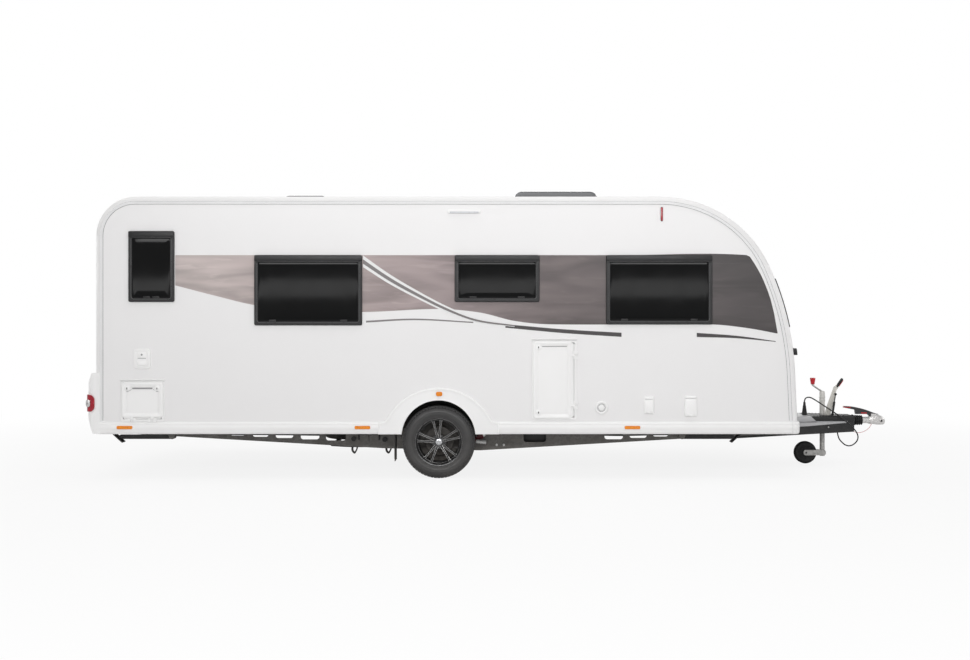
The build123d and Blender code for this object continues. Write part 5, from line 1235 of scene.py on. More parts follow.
# Entrance door: a moulded leaf with a raised lower panel, a lever handle let into a black dish, and a lock.
# Rubber seals line the gaps round this door and the locker doors.
seal_white = finish("seal_white", (0.74, 0.74, 0.74), 0.6, shade=0.06, scale=6.0, grain=0.2)
chrome = finish("chrome", (0.62, 0.62, 0.63), 0.16, shade=0.08, scale=12.0, Metallic=1.0)
dress(white_trim, "entrance_door", "entrance_door_frame")
LEAF_FACE = 1.120
RAISED_PANELS = [
    # x0, x1, z0, z1, corner, rise from the leaf, round of the edge
    (0.290, 0.678, 0.648, 1.162, 0.035, 0.006, 0.005),
    (0.300, 0.660, 2.000, 2.160, 0.03, 0.005, 0.004),
]
door_moulds = [wall_ring(0.262, 0.706, 0.620, 1.190, 0.05, LEAF_FACE + 0.0005, 0.006, white_trim, sides=12)]
for x0, x1, z0, z1, corner, rise, edge in RAISED_PANELS:
    outline = rounded(x0, x1, z0, z1, corner)
    door_moulds.append(plate(outline, 1, LEAF_FACE - 0.0005, LEAF_FACE + rise, edge))
piece("door_mouldings", gather("door_mouldings", *door_moulds), white_trim, "entrance")
dish = plate(rounded(0.222, 0.276, 1.205, 1.345, 0.020), 1, LEAF_FACE - 0.001, LEAF_FACE + 0.004, 0.003)
dish_rim = wall_ring(0.222, 0.276, 1.205, 1.345, 0.020, LEAF_FACE + 0.004, 0.004, black_plastic)
pull = soft_box((0.236, LEAF_FACE + 0.006, 1.222), (0.262, LEAF_FACE + 0.016, 1.318), 0.005, 3)
handle = gather("door_handle", dish, dish_rim, pull)
piece("door_handle", handle, black_plastic, "entrance")
LOCK_SECTION = [(0, 0.006), (0.008, 0.006), (0.010, 0.004), (0.011, -0.001), (0, -0.001)]
lock = lathe(LOCK_SECTION, (0.249, LEAF_FACE, 1.388), LEFTWARD, 24)
piece("door_lock", lock, chrome, "entrance")
door_seal = wall_ring(0.1905, 0.7695, 0.5285, 2.2645, 0.050, 1.1105, 0.0028, seal_white)
step_rail = soft_box((0.20, 1.114, 0.4975), (0.77, 1.131, 0.5055), 0.003)
piece("door_seal", door_seal, seal_white, "caravan")
piece("door_sill", step_rail, bright_steel, "caravan")

# Locker doors: moulded leaves with a thick rounded rim, turn locks and a drip hood over each.
# The gas locker is hinged at its front edge, and the cassette locker at its foot.
dress(white_trim, "locker_boxes", "gas_locker_door", "cassette_locker_door")
LOCKERS = [
    # name, body, frame x0, x1, z0, z1, rim drawn in at the rear, front, foot and top,
    # slope of the rim up from its front edge
    ("gas", "gas_door", 0.211, 0.601, 0.519, 1.212, 0.009, 0.042, 0.009, 0.009, 0.26),
    ("cassette", "cassette_door", -3.372, -2.993, 0.502, 0.856, 0.009, 0.009, 0.036, 0.009, 9.0),
]
RIM_SECTION = [
    # drawn in from the outer edge of the rim, out from the wall
    (0.006, 1.1208), (0.000, 1.1212), (0.0005, 1.1250), (0.003, 1.1282), (0.008, 1.1300), (0.018, 1.1300),
    (0.025, 1.1285), (0.031, 1.1255), (0.040, 1.1235), (0.041, 1.1208),
]
LOW_RIM = 1.1232
shadow_grey = finish("shadow_grey", (0.30, 0.30, 0.305), 0.55, shade=0.08, scale=9.0, grain=0.1)
for name, body, x0, x1, z0, z1, rear, front, foot, top, slope in LOCKERS:
    loops = []
    for inset, y in RIM_SECTION:
        corner = max(0.030 - inset, 0.010)
        outline = rounded(x0 + rear + inset, x1 - front - inset, z0 + foot + inset, z1 - top - inset,
                          corner)
        loops.append([(x, min(y, LOW_RIM + slope * (x1 - front - x)), z) for x, z in outline])
    piece(name + "_door_rim", near_side(skin(loops, ring=True)), white_trim, body)
    collar = wall_ring(x0 + 0.003, x1 - 0.003, z0 + 0.003, z1 - 0.003, 0.020, 1.1185, 0.0035, white_trim,
                       sides=12)
    hood = soft_box((x0 - 0.006, 1.1115, z1 + 0.004), (x1 + 0.006, 1.1300, z1 + 0.014), 0.004, 3)
    piece(name + "_frame_collar", near_side(collar, hood), white_trim, "caravan")
    seal = wall_ring(x0 + 0.024, x1 - 0.024, z0 + 0.024, z1 - 0.024, 0.020, 1.1158, 0.0036, seal_white)
    piece(name + "_door_seal", near_side(seal), seal_white, "caravan")
LOCKS = [
    # body, x, z
    ("gas_door", 0.268, 1.150),
    ("gas_door", 0.268, 0.583),
    ("cassette_door", -3.314, 0.792),
    ("cassette_door", -3.052, 0.792),
]
TURN_LOCK = [(0, 0.0075), (0.011, 0.0075), (0.0135, 0.005), (0.015, -0.001), (0, -0.001)]
for k, (body, x, z) in enumerate(LOCKS):
    turn = lathe(TURN_LOCK, (x, 1.1270, z), LEFTWARD, 28)
    ear = plate(rounded(x - 0.026, x + 0.026, z - 0.024, z + 0.024, 0.020), 1, 1.1195, 1.1285, 0.003)
    piece(f"locker_lock_{k}", near_side(turn, ear), white_trim, body)
    slot = soft_box((x - 0.0040, 1.1340, z - 0.0080), (x + 0.0040, 1.1352, z + 0.0080), 0.0005)
    piece(f"locker_key_slot_{k}", near_side(slot), black_plastic, body)
# The finger slot is a thin strip in shadow grey: painted shade in its recess.
finger_slot_shadow = soft_box((-3.270, 1.1195, 0.786), (-3.095, 1.1245, 0.798), 0.0015)
piece("cassette_slot_shadow", near_side(finger_slot_shadow), shadow_grey, "cassette_door")
# A grey strip under the inner edge of the rim's top is painted shadow.
gas_shadow_line = soft_box((0.300, 1.1195, 1.1560), (0.520, 1.1222, 1.1605), 0.0010)
piece("gas_painted_shadow", near_side(gas_shadow_line), shadow_grey, "gas_door")
# Short grey lines near the locks, in shadow grey, are painted shade.
CORNER_SHADE_LINE = [
    # along from the corner, z
    (0.0, 0.766), (0.034, 0.766), (0.048, 0.775), (0.062, 0.784),
]
corner_shade_lines = []
for x, way in ((-3.338, 1), (-3.026, -1)):
    points = on_wall([(x + way * d, z) for d, z in CORNER_SHADE_LINE], 1.1222)
    corner_shade_lines.append(bead(points, 0.0016, shadow_grey))
corner_shade_lines = near_side(*corner_shade_lines)
piece("cassette_corner_shade", corner_shade_lines, shadow_grey, "cassette_door")

# Hatches and vents: small white mouldings screwed to the wall with hinged lids and moulded lips.
# The fridge vents on the left are frames of sloped slats over a dark insect mesh.
dress(white_trim, "wall_hatches")
slat_row, w, given, end = open_tree(
    "slat_row",
    [("Count", "count"), ("Slat", "vector"), ("Pitch", "value"), ("Lean", "value"),
     ("Material", "material")],
)
row = w.put("GeometryNodeMeshLine", Count=given["Count"],
            Offset=w.put("ShaderNodeCombineXYZ", Z=given["Pitch"]).outputs[0])
slat = w.put("GeometryNodeMeshCube", Size=given["Slat"])
lean = w.put("FunctionNodeAxisAngleToRotation", Axis=(1, 0, 0), Angle=given["Lean"])
slats = w.put("GeometryNodeInstanceOnPoints", Points=row.outputs[0], Instance=slat.outputs[0],
              Rotation=lean.outputs[0])
w.feed(slats.outputs[0], end)
for k, z in enumerate((0.860, 1.400)):
    slats = grow(slat_row, bpy.data.meshes.new("empty"), Count=9, Slat=(0.450, 0.016, 0.0035), Pitch=0.0235,
                 Lean=-0.75, Material=white_trim)
    slats.transform(Matrix.Translation((-0.490, 1.1305, z + 0.026)))
    rim = wall_ring(-0.728, -0.252, z + 0.012, z + 0.228, 0.014, 1.1262, 0.005, white_trim)
    piece(f"fridge_vent_slats_{k}", gather("vent", slats, rim), white_trim, "caravan")
    dark = plate(rounded(-0.718, -0.262, z + 0.018, z + 0.222, 0.006), 1, 1.1255, 1.1266)
    piece(f"fridge_vent_mesh_{k}", dark, arch_black, "caravan")
hatch_bits = [wall_ring(-3.240, -3.132, 0.980, 1.122, 0.024, 1.1262, 0.0045, white_trim),
              plate(rounded(-3.228, -3.144, 0.990, 1.034, 0.016), 1, 1.1255, 1.1340, 0.005),
              plate(rounded(-3.226, -3.146, 1.062, 1.112, 0.010), 1, 1.1255, 1.1285, 0.002)]
KEYHOLE = [(0, 0.0035), (0.0075, 0.003), (0.0085, 0), (0, 0)]
dark_bits = [lathe(KEYHOLE, (-3.186, 1.1285, 1.086), LEFTWARD, 20),
             soft_box((-3.222, 1.1255, 1.052), (-3.150, 1.1272, 1.057), 0.0007)]
BOX_LIDS = [
    # x0, x1, z0, z1, y of the face
    (1.187, 1.272, 0.573, 0.719, 1.132),
    (1.538, 1.646, 0.549, 0.727, 1.132),
]
for x0, x1, z0, z1, y in BOX_LIDS:
    middle = (x0 + x1) / 2
    lid = rounded(x0 + 0.008, x1 - 0.008, z0 + 0.008, z1 - 0.026, 0.008)
    hatch_bits.append(plate(lid, 1, y - 0.0005, y + 0.006, 0.004))
    hinge = soft_box((x0 + 0.004, y - 0.002, z1 - 0.022), (x1 - 0.004, y + 0.004, z1 - 0.006), 0.003, 3)
    hatch_bits.append(hinge)
    tab = soft_box((middle - 0.012, y + 0.004, z0 + 0.002), (middle + 0.012, y + 0.0078, z0 + 0.016), 0.002)
    hatch_bits.append(tab)
    dark_bits.append(soft_box((x0 + 0.010, y, z1 - 0.0245), (x1 - 0.010, y + 0.0012, z1 - 0.0230), 0.0004))
CAP = (0.816, 0.625)
CAP_RING = [
    # radius, out from the wall
    (0.034, 0.0), (0.044, 0.004), (0.050, 0.0045), (0.0545, 0.002), (0.0555, -0.004), (0.034, -0.004),
    (0.034, 0.0),
]
hatch_bits.append(lathe(CAP_RING, (CAP[0], 1.128, CAP[1]), LEFTWARD, 48))


def round_cap(radius, points):
    """Corners of an even polygon round the middle of the water cap."""
    turns = [2 * math.pi * k / points for k in range(points)]
    return [(CAP[0] + radius * math.cos(a), CAP[1] + radius * math.sin(a)) for a in turns]


hexagon = round_cap(0.031, 6)
hatch_bits.append(plate(hexagon, 1, 1.1275, 1.1345, 0.003))
dark_bits.append(bead(on_wall(hexagon, 1.1336), 0.0016, shadow_grey, closed=True))
dark_bits.append(bead(on_wall(round_cap(0.035, 40), 1.1285), 0.0014, shadow_grey, closed=True))
piece("hatch_lids", near_side(*hatch_bits), white_trim, "caravan")
piece("hatch_shadow_lines", near_side(*dark_bits), shadow_grey, "caravan")

# Lamps on the walls: amber markers along the skirts, ribbed inside, on a white foot each.
# A slim red marker stands high near the front, and a white awning lamp is screwed high on each wall.
amber_lens = finish("amber_lens", (0.80, 0.245, 0.004), 0.2, shade=0.25, scale=60.0, grain=0.3,
                    grain_scale=260.0, Coat_Weight=0.5, Coat_Roughness=0.05)
dress(amber_lens, "side_marker_lamps")
gaskets = []
ribs = []
for x in (-3.402, -1.332, 1.016):
    gaskets.append(plate(rounded(x - 0.004, x + 0.140, 0.434, 0.471, 0.012), 1, 1.1275, 1.1310, 0.001))
    for k in range(10):
        at = x + 0.015 + 0.0118 * k
        ribs.append(soft_box((at - 0.002, 1.1362, 0.4435), (at + 0.002, 1.1388, 0.4615), 0.001))
gaskets.append(plate(rounded(-0.629, -0.564, 0.721, 0.769, 0.014), 1, 1.1330, 1.1358, 0.001))
for k in range(5):
    at = -0.620 + 0.0115 * k
    ribs.append(soft_box((at, 1.1396, 0.732), (at + 0.004, 1.1412, 0.758), 0.0006))
piece("marker_gaskets", both_sides(*gaskets), white_trim, "caravan")
piece("marker_ribs", both_sides(*ribs), amber_lens, "caravan")
stalk = plate(rounded(1.334, 1.352, 2.252, 2.370, 0.0085), 1, 1.1115, 1.1250, 0.006)
piece("front_marker_lenses", both_sides(stalk), red_lens, "caravan")
stalk_base = plate(rounded(1.3325, 1.3535, 2.248, 2.374, 0.010), 1, 1.1115, 1.1150, 0.001)
piece("front_marker_bases", both_sides(stalk_base), black_plastic, "caravan")
lamp_bar = plate(rounded(-0.523, -0.236, 2.318, 2.352, 0.014), 1, 1.1115, 1.1300, 0.006)
lamp_glass = soft_box((-0.505, 1.1290, 2.3185), (-0.254, 1.1312, 2.332), 0.002)
piece("awning_lamp", both_sides(lamp_bar), white_trim, "caravan")
diffuser = finish("lamp_diffuser", (0.62, 0.63, 0.66), 0.3, shade=0.05, scale=20.0, grain=0.2,
                  grain_scale=300.0)
piece("awning_lamp_glass", both_sides(lamp_glass), diffuser, "caravan")

# Grab handles: black moulded loops at the corners, screwed on through their feet.
# At the tail a cover hides each foot, and the outer face is lightly ribbed.
dress(black_plastic, "grab_handles")
grip_bits = []
for z in (1.020, 1.216):
    grip_bits.append(soft_box((-3.612, 0.893, z - 0.020), (-3.5995, 0.941, z + 0.020), 0.006, 3))
for k in range(8):
    z = 1.062 + 0.0165 * k
    grip_bits.append(soft_box((-3.6432, 0.9035, z - 0.0028), (-3.6405, 0.9305, z + 0.0028), 0.0009))
piece("grab_handle_feet", both_sides(*grip_bits), black_plastic, "caravan")

# Inside: ash-faced furniture on the floor, and foam cushions in woven cloth on the seats and the bed.
# Each cushion is blown up a little under pressure, so its faces belly and its edges pull in.
ash_board, w, out = open_material("ash_board")
spot = w.put("ShaderNodeTexCoord").outputs["Object"]
drawn = w.put("ShaderNodeMapping", Vector=spot, Scale=(1.2, 14.0, 14.0))
rings = w.put("ShaderNodeTexNoise", Vector=drawn.outputs[0], Scale=3.0, Detail=5.0,
              Distortion=1.2).outputs["Fac"]
pores = w.put("ShaderNodeTexNoise", Vector=drawn.outputs[0], Scale=40.0, Detail=2.0).outputs["Fac"]
tone = w.mix(w.span(rings, 0.35, 0.65), (0.47, 0.40, 0.31, 1), (0.33, 0.265, 0.19, 1))
relief = w.put("ShaderNodeBump", Height=pores, Strength=0.15, Distance=0.0005)
board = w.put("ShaderNodeBsdfPrincipled", Base_Color=tone, Roughness=w.span(pores, 0.3, 0.7, 0.38, 0.52),
              Normal=relief.outputs[0])
w.feed(board.outputs[0], out.inputs["Surface"])
dress(ash_board, "furniture")
seat_cloth, w, out = open_material("seat_cloth")
spot = w.put("ShaderNodeTexCoord").outputs["Object"]
threads = []
for way in ("X", "Y"):
    bands = w.put("ShaderNodeTexWave", Vector=spot, bands_direction=way, Scale=140.0, Distortion=0.6,
                  Detail=1.0)
    threads.append(bands.outputs["Fac"])
weave = w.sums("MULTIPLY", *threads)
cloud = w.put("ShaderNodeTexNoise", Vector=spot, Scale=7.0, Detail=3.0).outputs["Fac"]
tone = w.mix(w.span(cloud, 0.3, 0.7), (0.30, 0.27, 0.245, 1), (0.23, 0.205, 0.19, 1))
tone = w.mix(w.sums("MULTIPLY", weave, 0.35), tone, (0.42, 0.39, 0.36, 1))
relief = w.put("ShaderNodeBump", Height=weave, Strength=0.5, Distance=0.0008)
cloth = w.put("ShaderNodeBsdfPrincipled", Base_Color=tone, Roughness=0.92, Sheen_Weight=0.35,
              Sheen_Roughness=0.5, Normal=relief.outputs[0])
w.feed(cloth.outputs[0], out.inputs["Surface"])
vinyl = finish("floor_vinyl", (0.24, 0.18, 0.125), 0.45, shade=0.3, spread=0.1, scale=3.0, grain=0.2,
               grain_scale=90.0)
MATS = [
    # x0, x1, half width: behind, between and ahead of the wheel boxes
    (-3.50, -1.005, 1.075), (-1.005, -0.200, 0.800), (-0.200, 2.44, 1.075),
]
mats = [plate(rounded(x0, x1, -half, half, 0.005), 2, 0.4602, 0.4618) for x0, x1, half in MATS]
piece("floor_covering", gather("floor_covering", *mats), vinyl, "caravan")
CUSHIONS = [
    # name, x0, x1, y0, y1, z0, z1
    ("right_seat", 1.090, 2.400, -1.070, -0.450, 0.860, 1.000),
    ("left_seat", 1.090, 2.400, 0.450, 1.070, 0.860, 1.000),
    ("bed", -2.470, -1.170, -1.010, 0.410, 0.880, 1.020),
]
VOXEL = 0.026
PRESSURE = 4.0
SETTLED_FRAME = 20
MOST_SWELL = 0.012


def cushion(x0, x1, y0, y1, z0, z1):
    """Boxed cushion, swelled by cloth under pressure from a rounded block."""
    foam = soft_box((x0 + 0.012, y0 + 0.012, z0 + 0.004), (x1 - 0.012, y1 - 0.012, z1 - 0.016), 0.028, 3)
    start = add("cushion", foam)
    remesh = start.modifiers.new("remesh", "REMESH")
    remesh.mode = "VOXEL"
    remesh.voxel_size = VOXEL
    pin = start.vertex_groups.new(name="foot")
    block = baked(start)
    start.modifiers.clear()
    start.data = block
    pin.add([v.index for v in block.vertices if v.co.z < z0 + 0.012], 1.0, "REPLACE")
    cloth = start.modifiers.new("cloth", "CLOTH")
    cloth.settings.use_pressure = True
    cloth.settings.uniform_pressure_force = PRESSURE
    cloth.settings.effector_weights.gravity = 0.0
    cloth.settings.vertex_group_mass = "foot"
    cloth.settings.quality = 4
    cloth.point_cache.frame_start = 1
    cloth.point_cache.frame_end = SETTLED_FRAME
    for moment in range(1, SETTLED_FRAME + 1):
        scene.frame_set(moment)
    swelled = baked(start)
    rest = start.data
    if len(rest.vertices) == len(swelled.vertices):
        for v, old in zip(swelled.vertices, rest.vertices):
            move = v.co - old.co
            if move.length > MOST_SWELL:
                v.co = old.co + move.normalized() * MOST_SWELL
    scene.frame_set(1)
    bpy.data.objects.remove(start)
    return swelled


sewn = finish("piping_cord", (0.16, 0.145, 0.135), 0.85, shade=0.1, scale=20.0, grain=0.5)
for name, x0, x1, y0, y1, z0, z1 in CUSHIONS:
    pad = cushion(x0, x1, y0, y1, z0, z1)
    pad = piece(name + "_cushion", pad, seat_cloth, "caravan", 60.0)
    smooth = pad.modifiers.new("smooth", "SUBSURF")
    smooth.levels = 1
    smooth.render_levels = 1
    for z in (z0 + 0.022, z1 - 0.030):
        seam = [(x, y, z) for x, y in rounded(x0 + 0.010, x1 - 0.010, y0 + 0.010, y1 - 0.010, 0.03)]
        cord = bead(seam, 0.0045, sewn, closed=True)
        piece(f"{name}_piping_{round(z * 1000)}", cord, sewn, "caravan")
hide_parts("cushions")
KITCHEN_FACE = -0.540
BENCH_FACE = 0.440
FRONTS = [
    # x0, x1, z0, z1 of the drawers and cupboard doors in the kitchen's face
    (-0.530, -0.290, 0.520, 1.325), (-0.282, -0.042, 0.520, 1.325), (-0.034, 0.170, 0.520, 0.860),
    (-0.034, 0.170, 0.868, 1.100), (-0.034, 0.170, 1.108, 1.325),
]
worktop = finish("worktop_laminate", (0.32, 0.31, 0.30), 0.35, shade=0.2, spread=0.1, scale=60.0, grain=0.1)
KNOB = [(0, 0.018), (0.010, 0.018), (0.013, 0.014), (0.007, 0.004), (0.009, -0.002), (0, -0.002)]
leaves = []
pulls = []
for x0, x1, z0, z1 in FRONTS:
    outline = rounded(x0, x1, z0, z1, 0.012)
    leaves.append(plate(outline, 1, KITCHEN_FACE - 0.001, KITCHEN_FACE + 0.016, 0.003))
    low = (x0 + 0.05, KITCHEN_FACE + 0.014, z1 - 0.060)
    high = (x1 - 0.05, KITCHEN_FACE + 0.028, z1 - 0.046)
    pulls.append(soft_box(low, high, 0.005, 3))
for x0, x1 in ((1.10, 1.74), (1.75, 2.39)):
    for side in (-1, 1):
        ends = sorted((side * (BENCH_FACE + 0.001), side * (BENCH_FACE - 0.014)))
        leaves.append(plate(rounded(x0, x1, 0.520, 0.835, 0.012), 1, ends[0], ends[1], 0.003))
        knob_foot = ((x0 + x1) / 2, side * (BENCH_FACE - 0.013), 0.790)
        pulls.append(lathe(KNOB, knob_foot, (0, -side, 0), 24))
piece("furniture_fronts", gather("fronts", *leaves), ash_board, "caravan")
piece("furniture_pulls", gather("pulls", *pulls), bright_steel, "caravan")
top = plate(rounded(-0.548, 0.186, -1.078, -0.522, 0.02), 2, 1.3715, 1.3775, 0.002)
nosing = soft_box((-0.548, -0.541, 1.338), (0.186, -0.520, 1.374), 0.006, 3)
piece("kitchen_worktop", gather("worktop", top, nosing), worktop, "caravan")

# Drawbar and hitch: black steel legs bolted to the rails under a plastic cover with a light grey stripe.
# A cast overrun housing holds the shaft in a rubber gaiter, and the coupling head is cast too, with a
# stabiliser handle pinned on top.
hitch_black = finish("hitch_black", (0.010, 0.010, 0.011), 0.5, shade=0.3, spread=0.1, scale=10.0,
                     grain=0.5, grain_scale=420.0, dust=0.12, dust_high=0.6)
cover_grey = finish("cover_grey", (0.46, 0.46, 0.47), 0.42, shade=0.1, scale=7.0, grain=0.25,
                    grain_scale=600.0)
silver_cast = finish("silver_cast", (0.74, 0.73, 0.72), 0.30, shade=0.10, scale=12.0, grain=0.2,
                     grain_scale=240.0, Metallic=0.55)
gaiter_rubber = finish("gaiter_rubber", (0.012, 0.012, 0.012), 0.5, shade=0.2, scale=9.0, grain=0.2)
handle_dark = finish("handle_dark", (0.032, 0.032, 0.034), 0.42, shade=0.15, scale=14.0, grain=0.3,
                     grain_scale=500.0)
signal_red = finish("signal_red", (0.56, 0.012, 0.022), 0.4, shade=0.1, scale=14.0, grain=0.2)
dress(hitch_black, "left_drawbar", "right_drawbar", "hitch_cover", "overrun_housing")
dress(silver_cast, "coupling_shaft")
LEG_NOSE = (3.347, 0.056)
LEG_SLOPE = 0.619 / 1.271
LEG_HALF_WIDE = 0.028
COVER_BACK = (2.658, 0.330)
COVER_NOSE = (3.364, 0.092)


def leg_face(x):
    """How far out a drawbar's outer face lies at a place along it."""
    return LEG_NOSE[1] + (LEG_NOSE[0] - x) * LEG_SLOPE + LEG_HALF_WIDE * math.sqrt(1 + LEG_SLOPE ** 2)


def cover_face(x):
    """How far out the cover's side lies at a place along it."""
    share = (x - COVER_BACK[0]) / (COVER_NOSE[0] - COVER_BACK[0])
    return COVER_BACK[1] - share * (COVER_BACK[1] - COVER_NOSE[1])


COVER_TOP = 0.473
COVER_ROUND = 0.022
COVER_FOOT = 0.4175
LEG_TOP = 0.4190
STRIPE_PROUD = 0.0015
WRAP_BACK = 2.660
WRAP_FRONT = 2.906
WRAP_LEAN = 1.12
STRIPE = [
    # x, foot, top of the light stripe along the cover and the drawbar
    (2.690, 0.391, 0.4287), (2.852, 0.391, 0.4287), (2.951, 0.3942, 0.4287), (3.120, 0.3996, 0.4234),
    (3.289, 0.405, 0.4190),
]
lower = []
upper = []
for x, foot, top in STRIPE:
    out = leg_face(x) + STRIPE_PROUD
    behind = out - 0.006
    back = min(cover_face(x), behind)
    under = LEG_TOP - 0.0025
    angle = [(behind, foot), (out, foot), (out, LEG_TOP), (back, LEG_TOP), (back, under), (behind, under)]
    lower.append([(x, y, z) for y, z in angle])
    out = cover_face(x) + STRIPE_PROUD
    strip = [(out - 0.004, COVER_FOOT), (out, COVER_FOOT), (out, top), (out - 0.004, top)]
    upper.append([(x, y, z) for y, z in strip])
wrap = []
for t in (0.0, 0.5, 1.0):
    loop = []
    for lift in (STRIPE_PROUD, -0.003):
        r = COVER_ROUND + lift
        bend = [(lift, COVER_FOOT), (lift, COVER_TOP - COVER_ROUND)]
        for k in range(1, 7):
            a = math.pi / 2 * k / 6
            bend.append((-COVER_ROUND + r * math.cos(a), COVER_TOP - COVER_ROUND + r * math.sin(a)))
        bend.append((-0.09, COVER_TOP + lift))
        ring = []
        for d, z in bend:
            front = WRAP_FRONT + max(0.0, COVER_TOP - 0.004 - z) * WRAP_LEAN
            x = WRAP_BACK + (front - WRAP_BACK) * t
            ring.append((x, cover_face(x) + d, z))
        loop += ring if lift > 0 else ring[::-1]
    wrap.append(loop)
half_cover = both_sides(skin(lower), skin(upper), skin(wrap))
apron = plate([(2.662, -0.26), (2.900, -0.17), (2.900, 0.17), (2.662, 0.26)], 2, 0.4722, 0.4745, 0.001)
piece("cover_stripes", gather("cover_stripes", half_cover, apron), cover_grey, "caravan")
treads = []
for k in range(11):
    x = 2.935 + 0.031 * k
    treads.append(soft_box((x, 0.074, 0.4722), (x + 0.012, cover_face(x) - COVER_ROUND, 0.4752), 0.001))
ribs = [soft_box((x, 0.0435, 0.350), (x + 0.008, 0.0470, 0.440), 0.0015) for x in (3.20, 3.25, 3.30)]
FORWARD = (1, 0, 0)
SHAFT_Z = 0.421
COLLAR = [(0.050, 0), (0.0538, 0.002), (0.0538, 0.010), (0.050, 0.012), (0.050, 0)]
collar = lathe(COLLAR, (3.3655, 0, SHAFT_Z), FORWARD, 40)
treads = both_sides(*treads, *ribs)
piece("cover_treads", gather("cover_treads", treads, collar), hitch_black, "caravan")
nut_spots = [(x, leg_face(x), 0.372) for x in (2.74, 3.067)]
nuts = fixings(nut_spots, (0.437, 0.899, 0), 0.009, 0.007, bright_steel)
piece("drawbar_bolts", both_sides(nuts), bright_steel, "caravan")
rod = tube([(2.20, 0.0, 0.336), (2.62, -0.020, 0.326), (2.90, -0.056, 0.322), (3.05, -0.058, 0.326)], 0.005)
clevis = soft_box((3.020, -0.064, 0.313), (3.050, -0.050, 0.352), 0.003)
piece("brake_rod", gather("brake_rod", rod, clevis), galvanised, "caravan")

SHAFT_R = 0.0316
GAITER_LONG = 0.0815
FOLDS = 4
FOLD_DEPTH = 0.0052
gaiter = [(SHAFT_R, 0.0)]
for k in range(33):
    share = k / 32
    r = 0.0472 - 0.004 * share + FOLD_DEPTH * math.cos(2 * math.pi * FOLDS * share)
    gaiter.append((r, GAITER_LONG * share))
gaiter += [(SHAFT_R, GAITER_LONG), (SHAFT_R, 0.0)]
bellows = lathe(gaiter, (3.3772, 0, SHAFT_Z), FORWARD, 48)
bellows = piece("bellows", bellows, gaiter_rubber, "caravan", 60.0)
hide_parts("shaft_gaiter")
HEAD = [
    # x, half width, foot, top, corner of the cast head
    (3.529, 0.036, 0.384, 0.458, 0.030), (3.540, 0.041, 0.383, 0.460, 0.030),
    (3.567, 0.0425, 0.383, 0.463, 0.028), (3.593, 0.0435, 0.379, 0.471, 0.028),
    (3.618, 0.0440, 0.377, 0.471, 0.028), (3.645, 0.0425, 0.377, 0.463, 0.028),
    (3.664, 0.037, 0.378, 0.450, 0.026), (3.676, 0.028, 0.383, 0.440, 0.022),
    (3.683, 0.016, 0.393, 0.428, 0.014),
]
loops = []
for x, half, foot, top, r in HEAD:
    loops.append([(x, y, z) for y, z in rounded(-half, half, foot, top, r)])
casting = skin(loops)
HEAD_PIN = (3.637, 0, 0.417)
BOSS = [(0, 0.0515), (0.0125, 0.0515), (0.0150, 0.0500), (0.0165, 0.0470), (0.0180, 0.040), (0, 0.040)]
boss = lathe(BOSS, HEAD_PIN, LEFTWARD, 32)
ear = soft_box((3.545, 0.018, 0.452), (3.600, 0.026, 0.484), 0.004, 3)
head = gather("cast_head", casting, both_sides(boss, ear))
head = piece("cast_head", head, silver_cast, "caravan", 60.0)
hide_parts("coupling_head")
PIN_CAP = [(0, 0.0545), (0.008, 0.0545), (0.0105, 0.0530), (0.0110, 0.0505), (0, 0.0505)]
pin_cap = lathe(PIN_CAP, HEAD_PIN, LEFTWARD, 28)
piece("head_caps", both_sides(pin_cap), gaiter_rubber, "caravan")
HANDLE_TOP = [
    # x, z
    (3.287, 0.556), (3.340, 0.5545), (3.390, 0.548), (3.450, 0.535), (3.510, 0.517), (3.573, 0.493),
    (3.625, 0.4785),
]
HANDLE_FOOT = [
    # x, z
    (3.600, 0.4745), (3.567, 0.4650), (3.535, 0.4600), (3.512, 0.4800), (3.400, 0.4795), (3.394, 0.5210),
    (3.290, 0.5410),
]
marks = [3.287 + 0.338 * k / 20 for k in range(21)]
handle = [(x, through(HANDLE_TOP, x)) for x in marks] + HANDLE_FOOT
bar = plate(handle, 1, -0.021, 0.021, 0.005)
bar = piece("handle_bar", bar, handle_dark, "caravan", 40.0)
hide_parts("coupling_handle")
grips = [soft_box((3.284, -0.0218, 0.5405), (3.352, 0.0218, 0.5515), 0.004, 3),
         soft_box((3.448, -0.0222, 0.4835), (3.508, 0.0222, 0.4965), 0.004, 3)]
piece("stabiliser_grip", gather("stabiliser_grip", *grips), signal_red, "caravan")

# Parking brake lever: a pale pressed-steel arm with a black grip and a red release, held up by a gas strut.
# It stands beside the jockey tube, pinned to the overrun housing.
pale_lever = finish("pale_lever", (0.66, 0.645, 0.60), 0.42, shade=0.06, scale=8.0, grain=0.15)
LEVER = [
    # x, z
    (3.080, 0.360), (3.121, 0.360), (3.138, 0.470), (3.163, 0.560), (3.200, 0.712), (3.226, 0.752),
    (3.204, 0.770), (3.172, 0.742), (3.108, 0.560), (3.080, 0.460),
]
arm = piece("lever_arm", plate(LEVER, 1, -0.058, -0.042, 0.005), pale_lever, "caravan", 40.0)
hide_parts("parking_brake_lever")
flute = bead(on_wall([(3.104, 0.480), (3.136, 0.565), (3.183, 0.712)], -0.0582), 0.0035, pale_lever)
piece("lever_flute", flute, pale_lever, "caravan")
grip_start = Vector((3.205, -0.050, 0.746))
grip_end = Vector((3.257, -0.050, 0.822))
way = (grip_end - grip_start).normalized()
long = (grip_end - grip_start).length
rings = [(0, 0.0), (0.0125, 0.0)]
for k in range(8):
    h = 0.006 + k * (long - 0.010) / 8
    rings += [(0.0140, h), (0.0140, h + long / 20), (0.0124, h + long / 14)]
rings += [(0.0125, long), (0.009, long + 0.005), (0, long + 0.006)]
piece("lever_grip", lathe(rings, grip_start, way, 24), gaiter_rubber, "caravan")
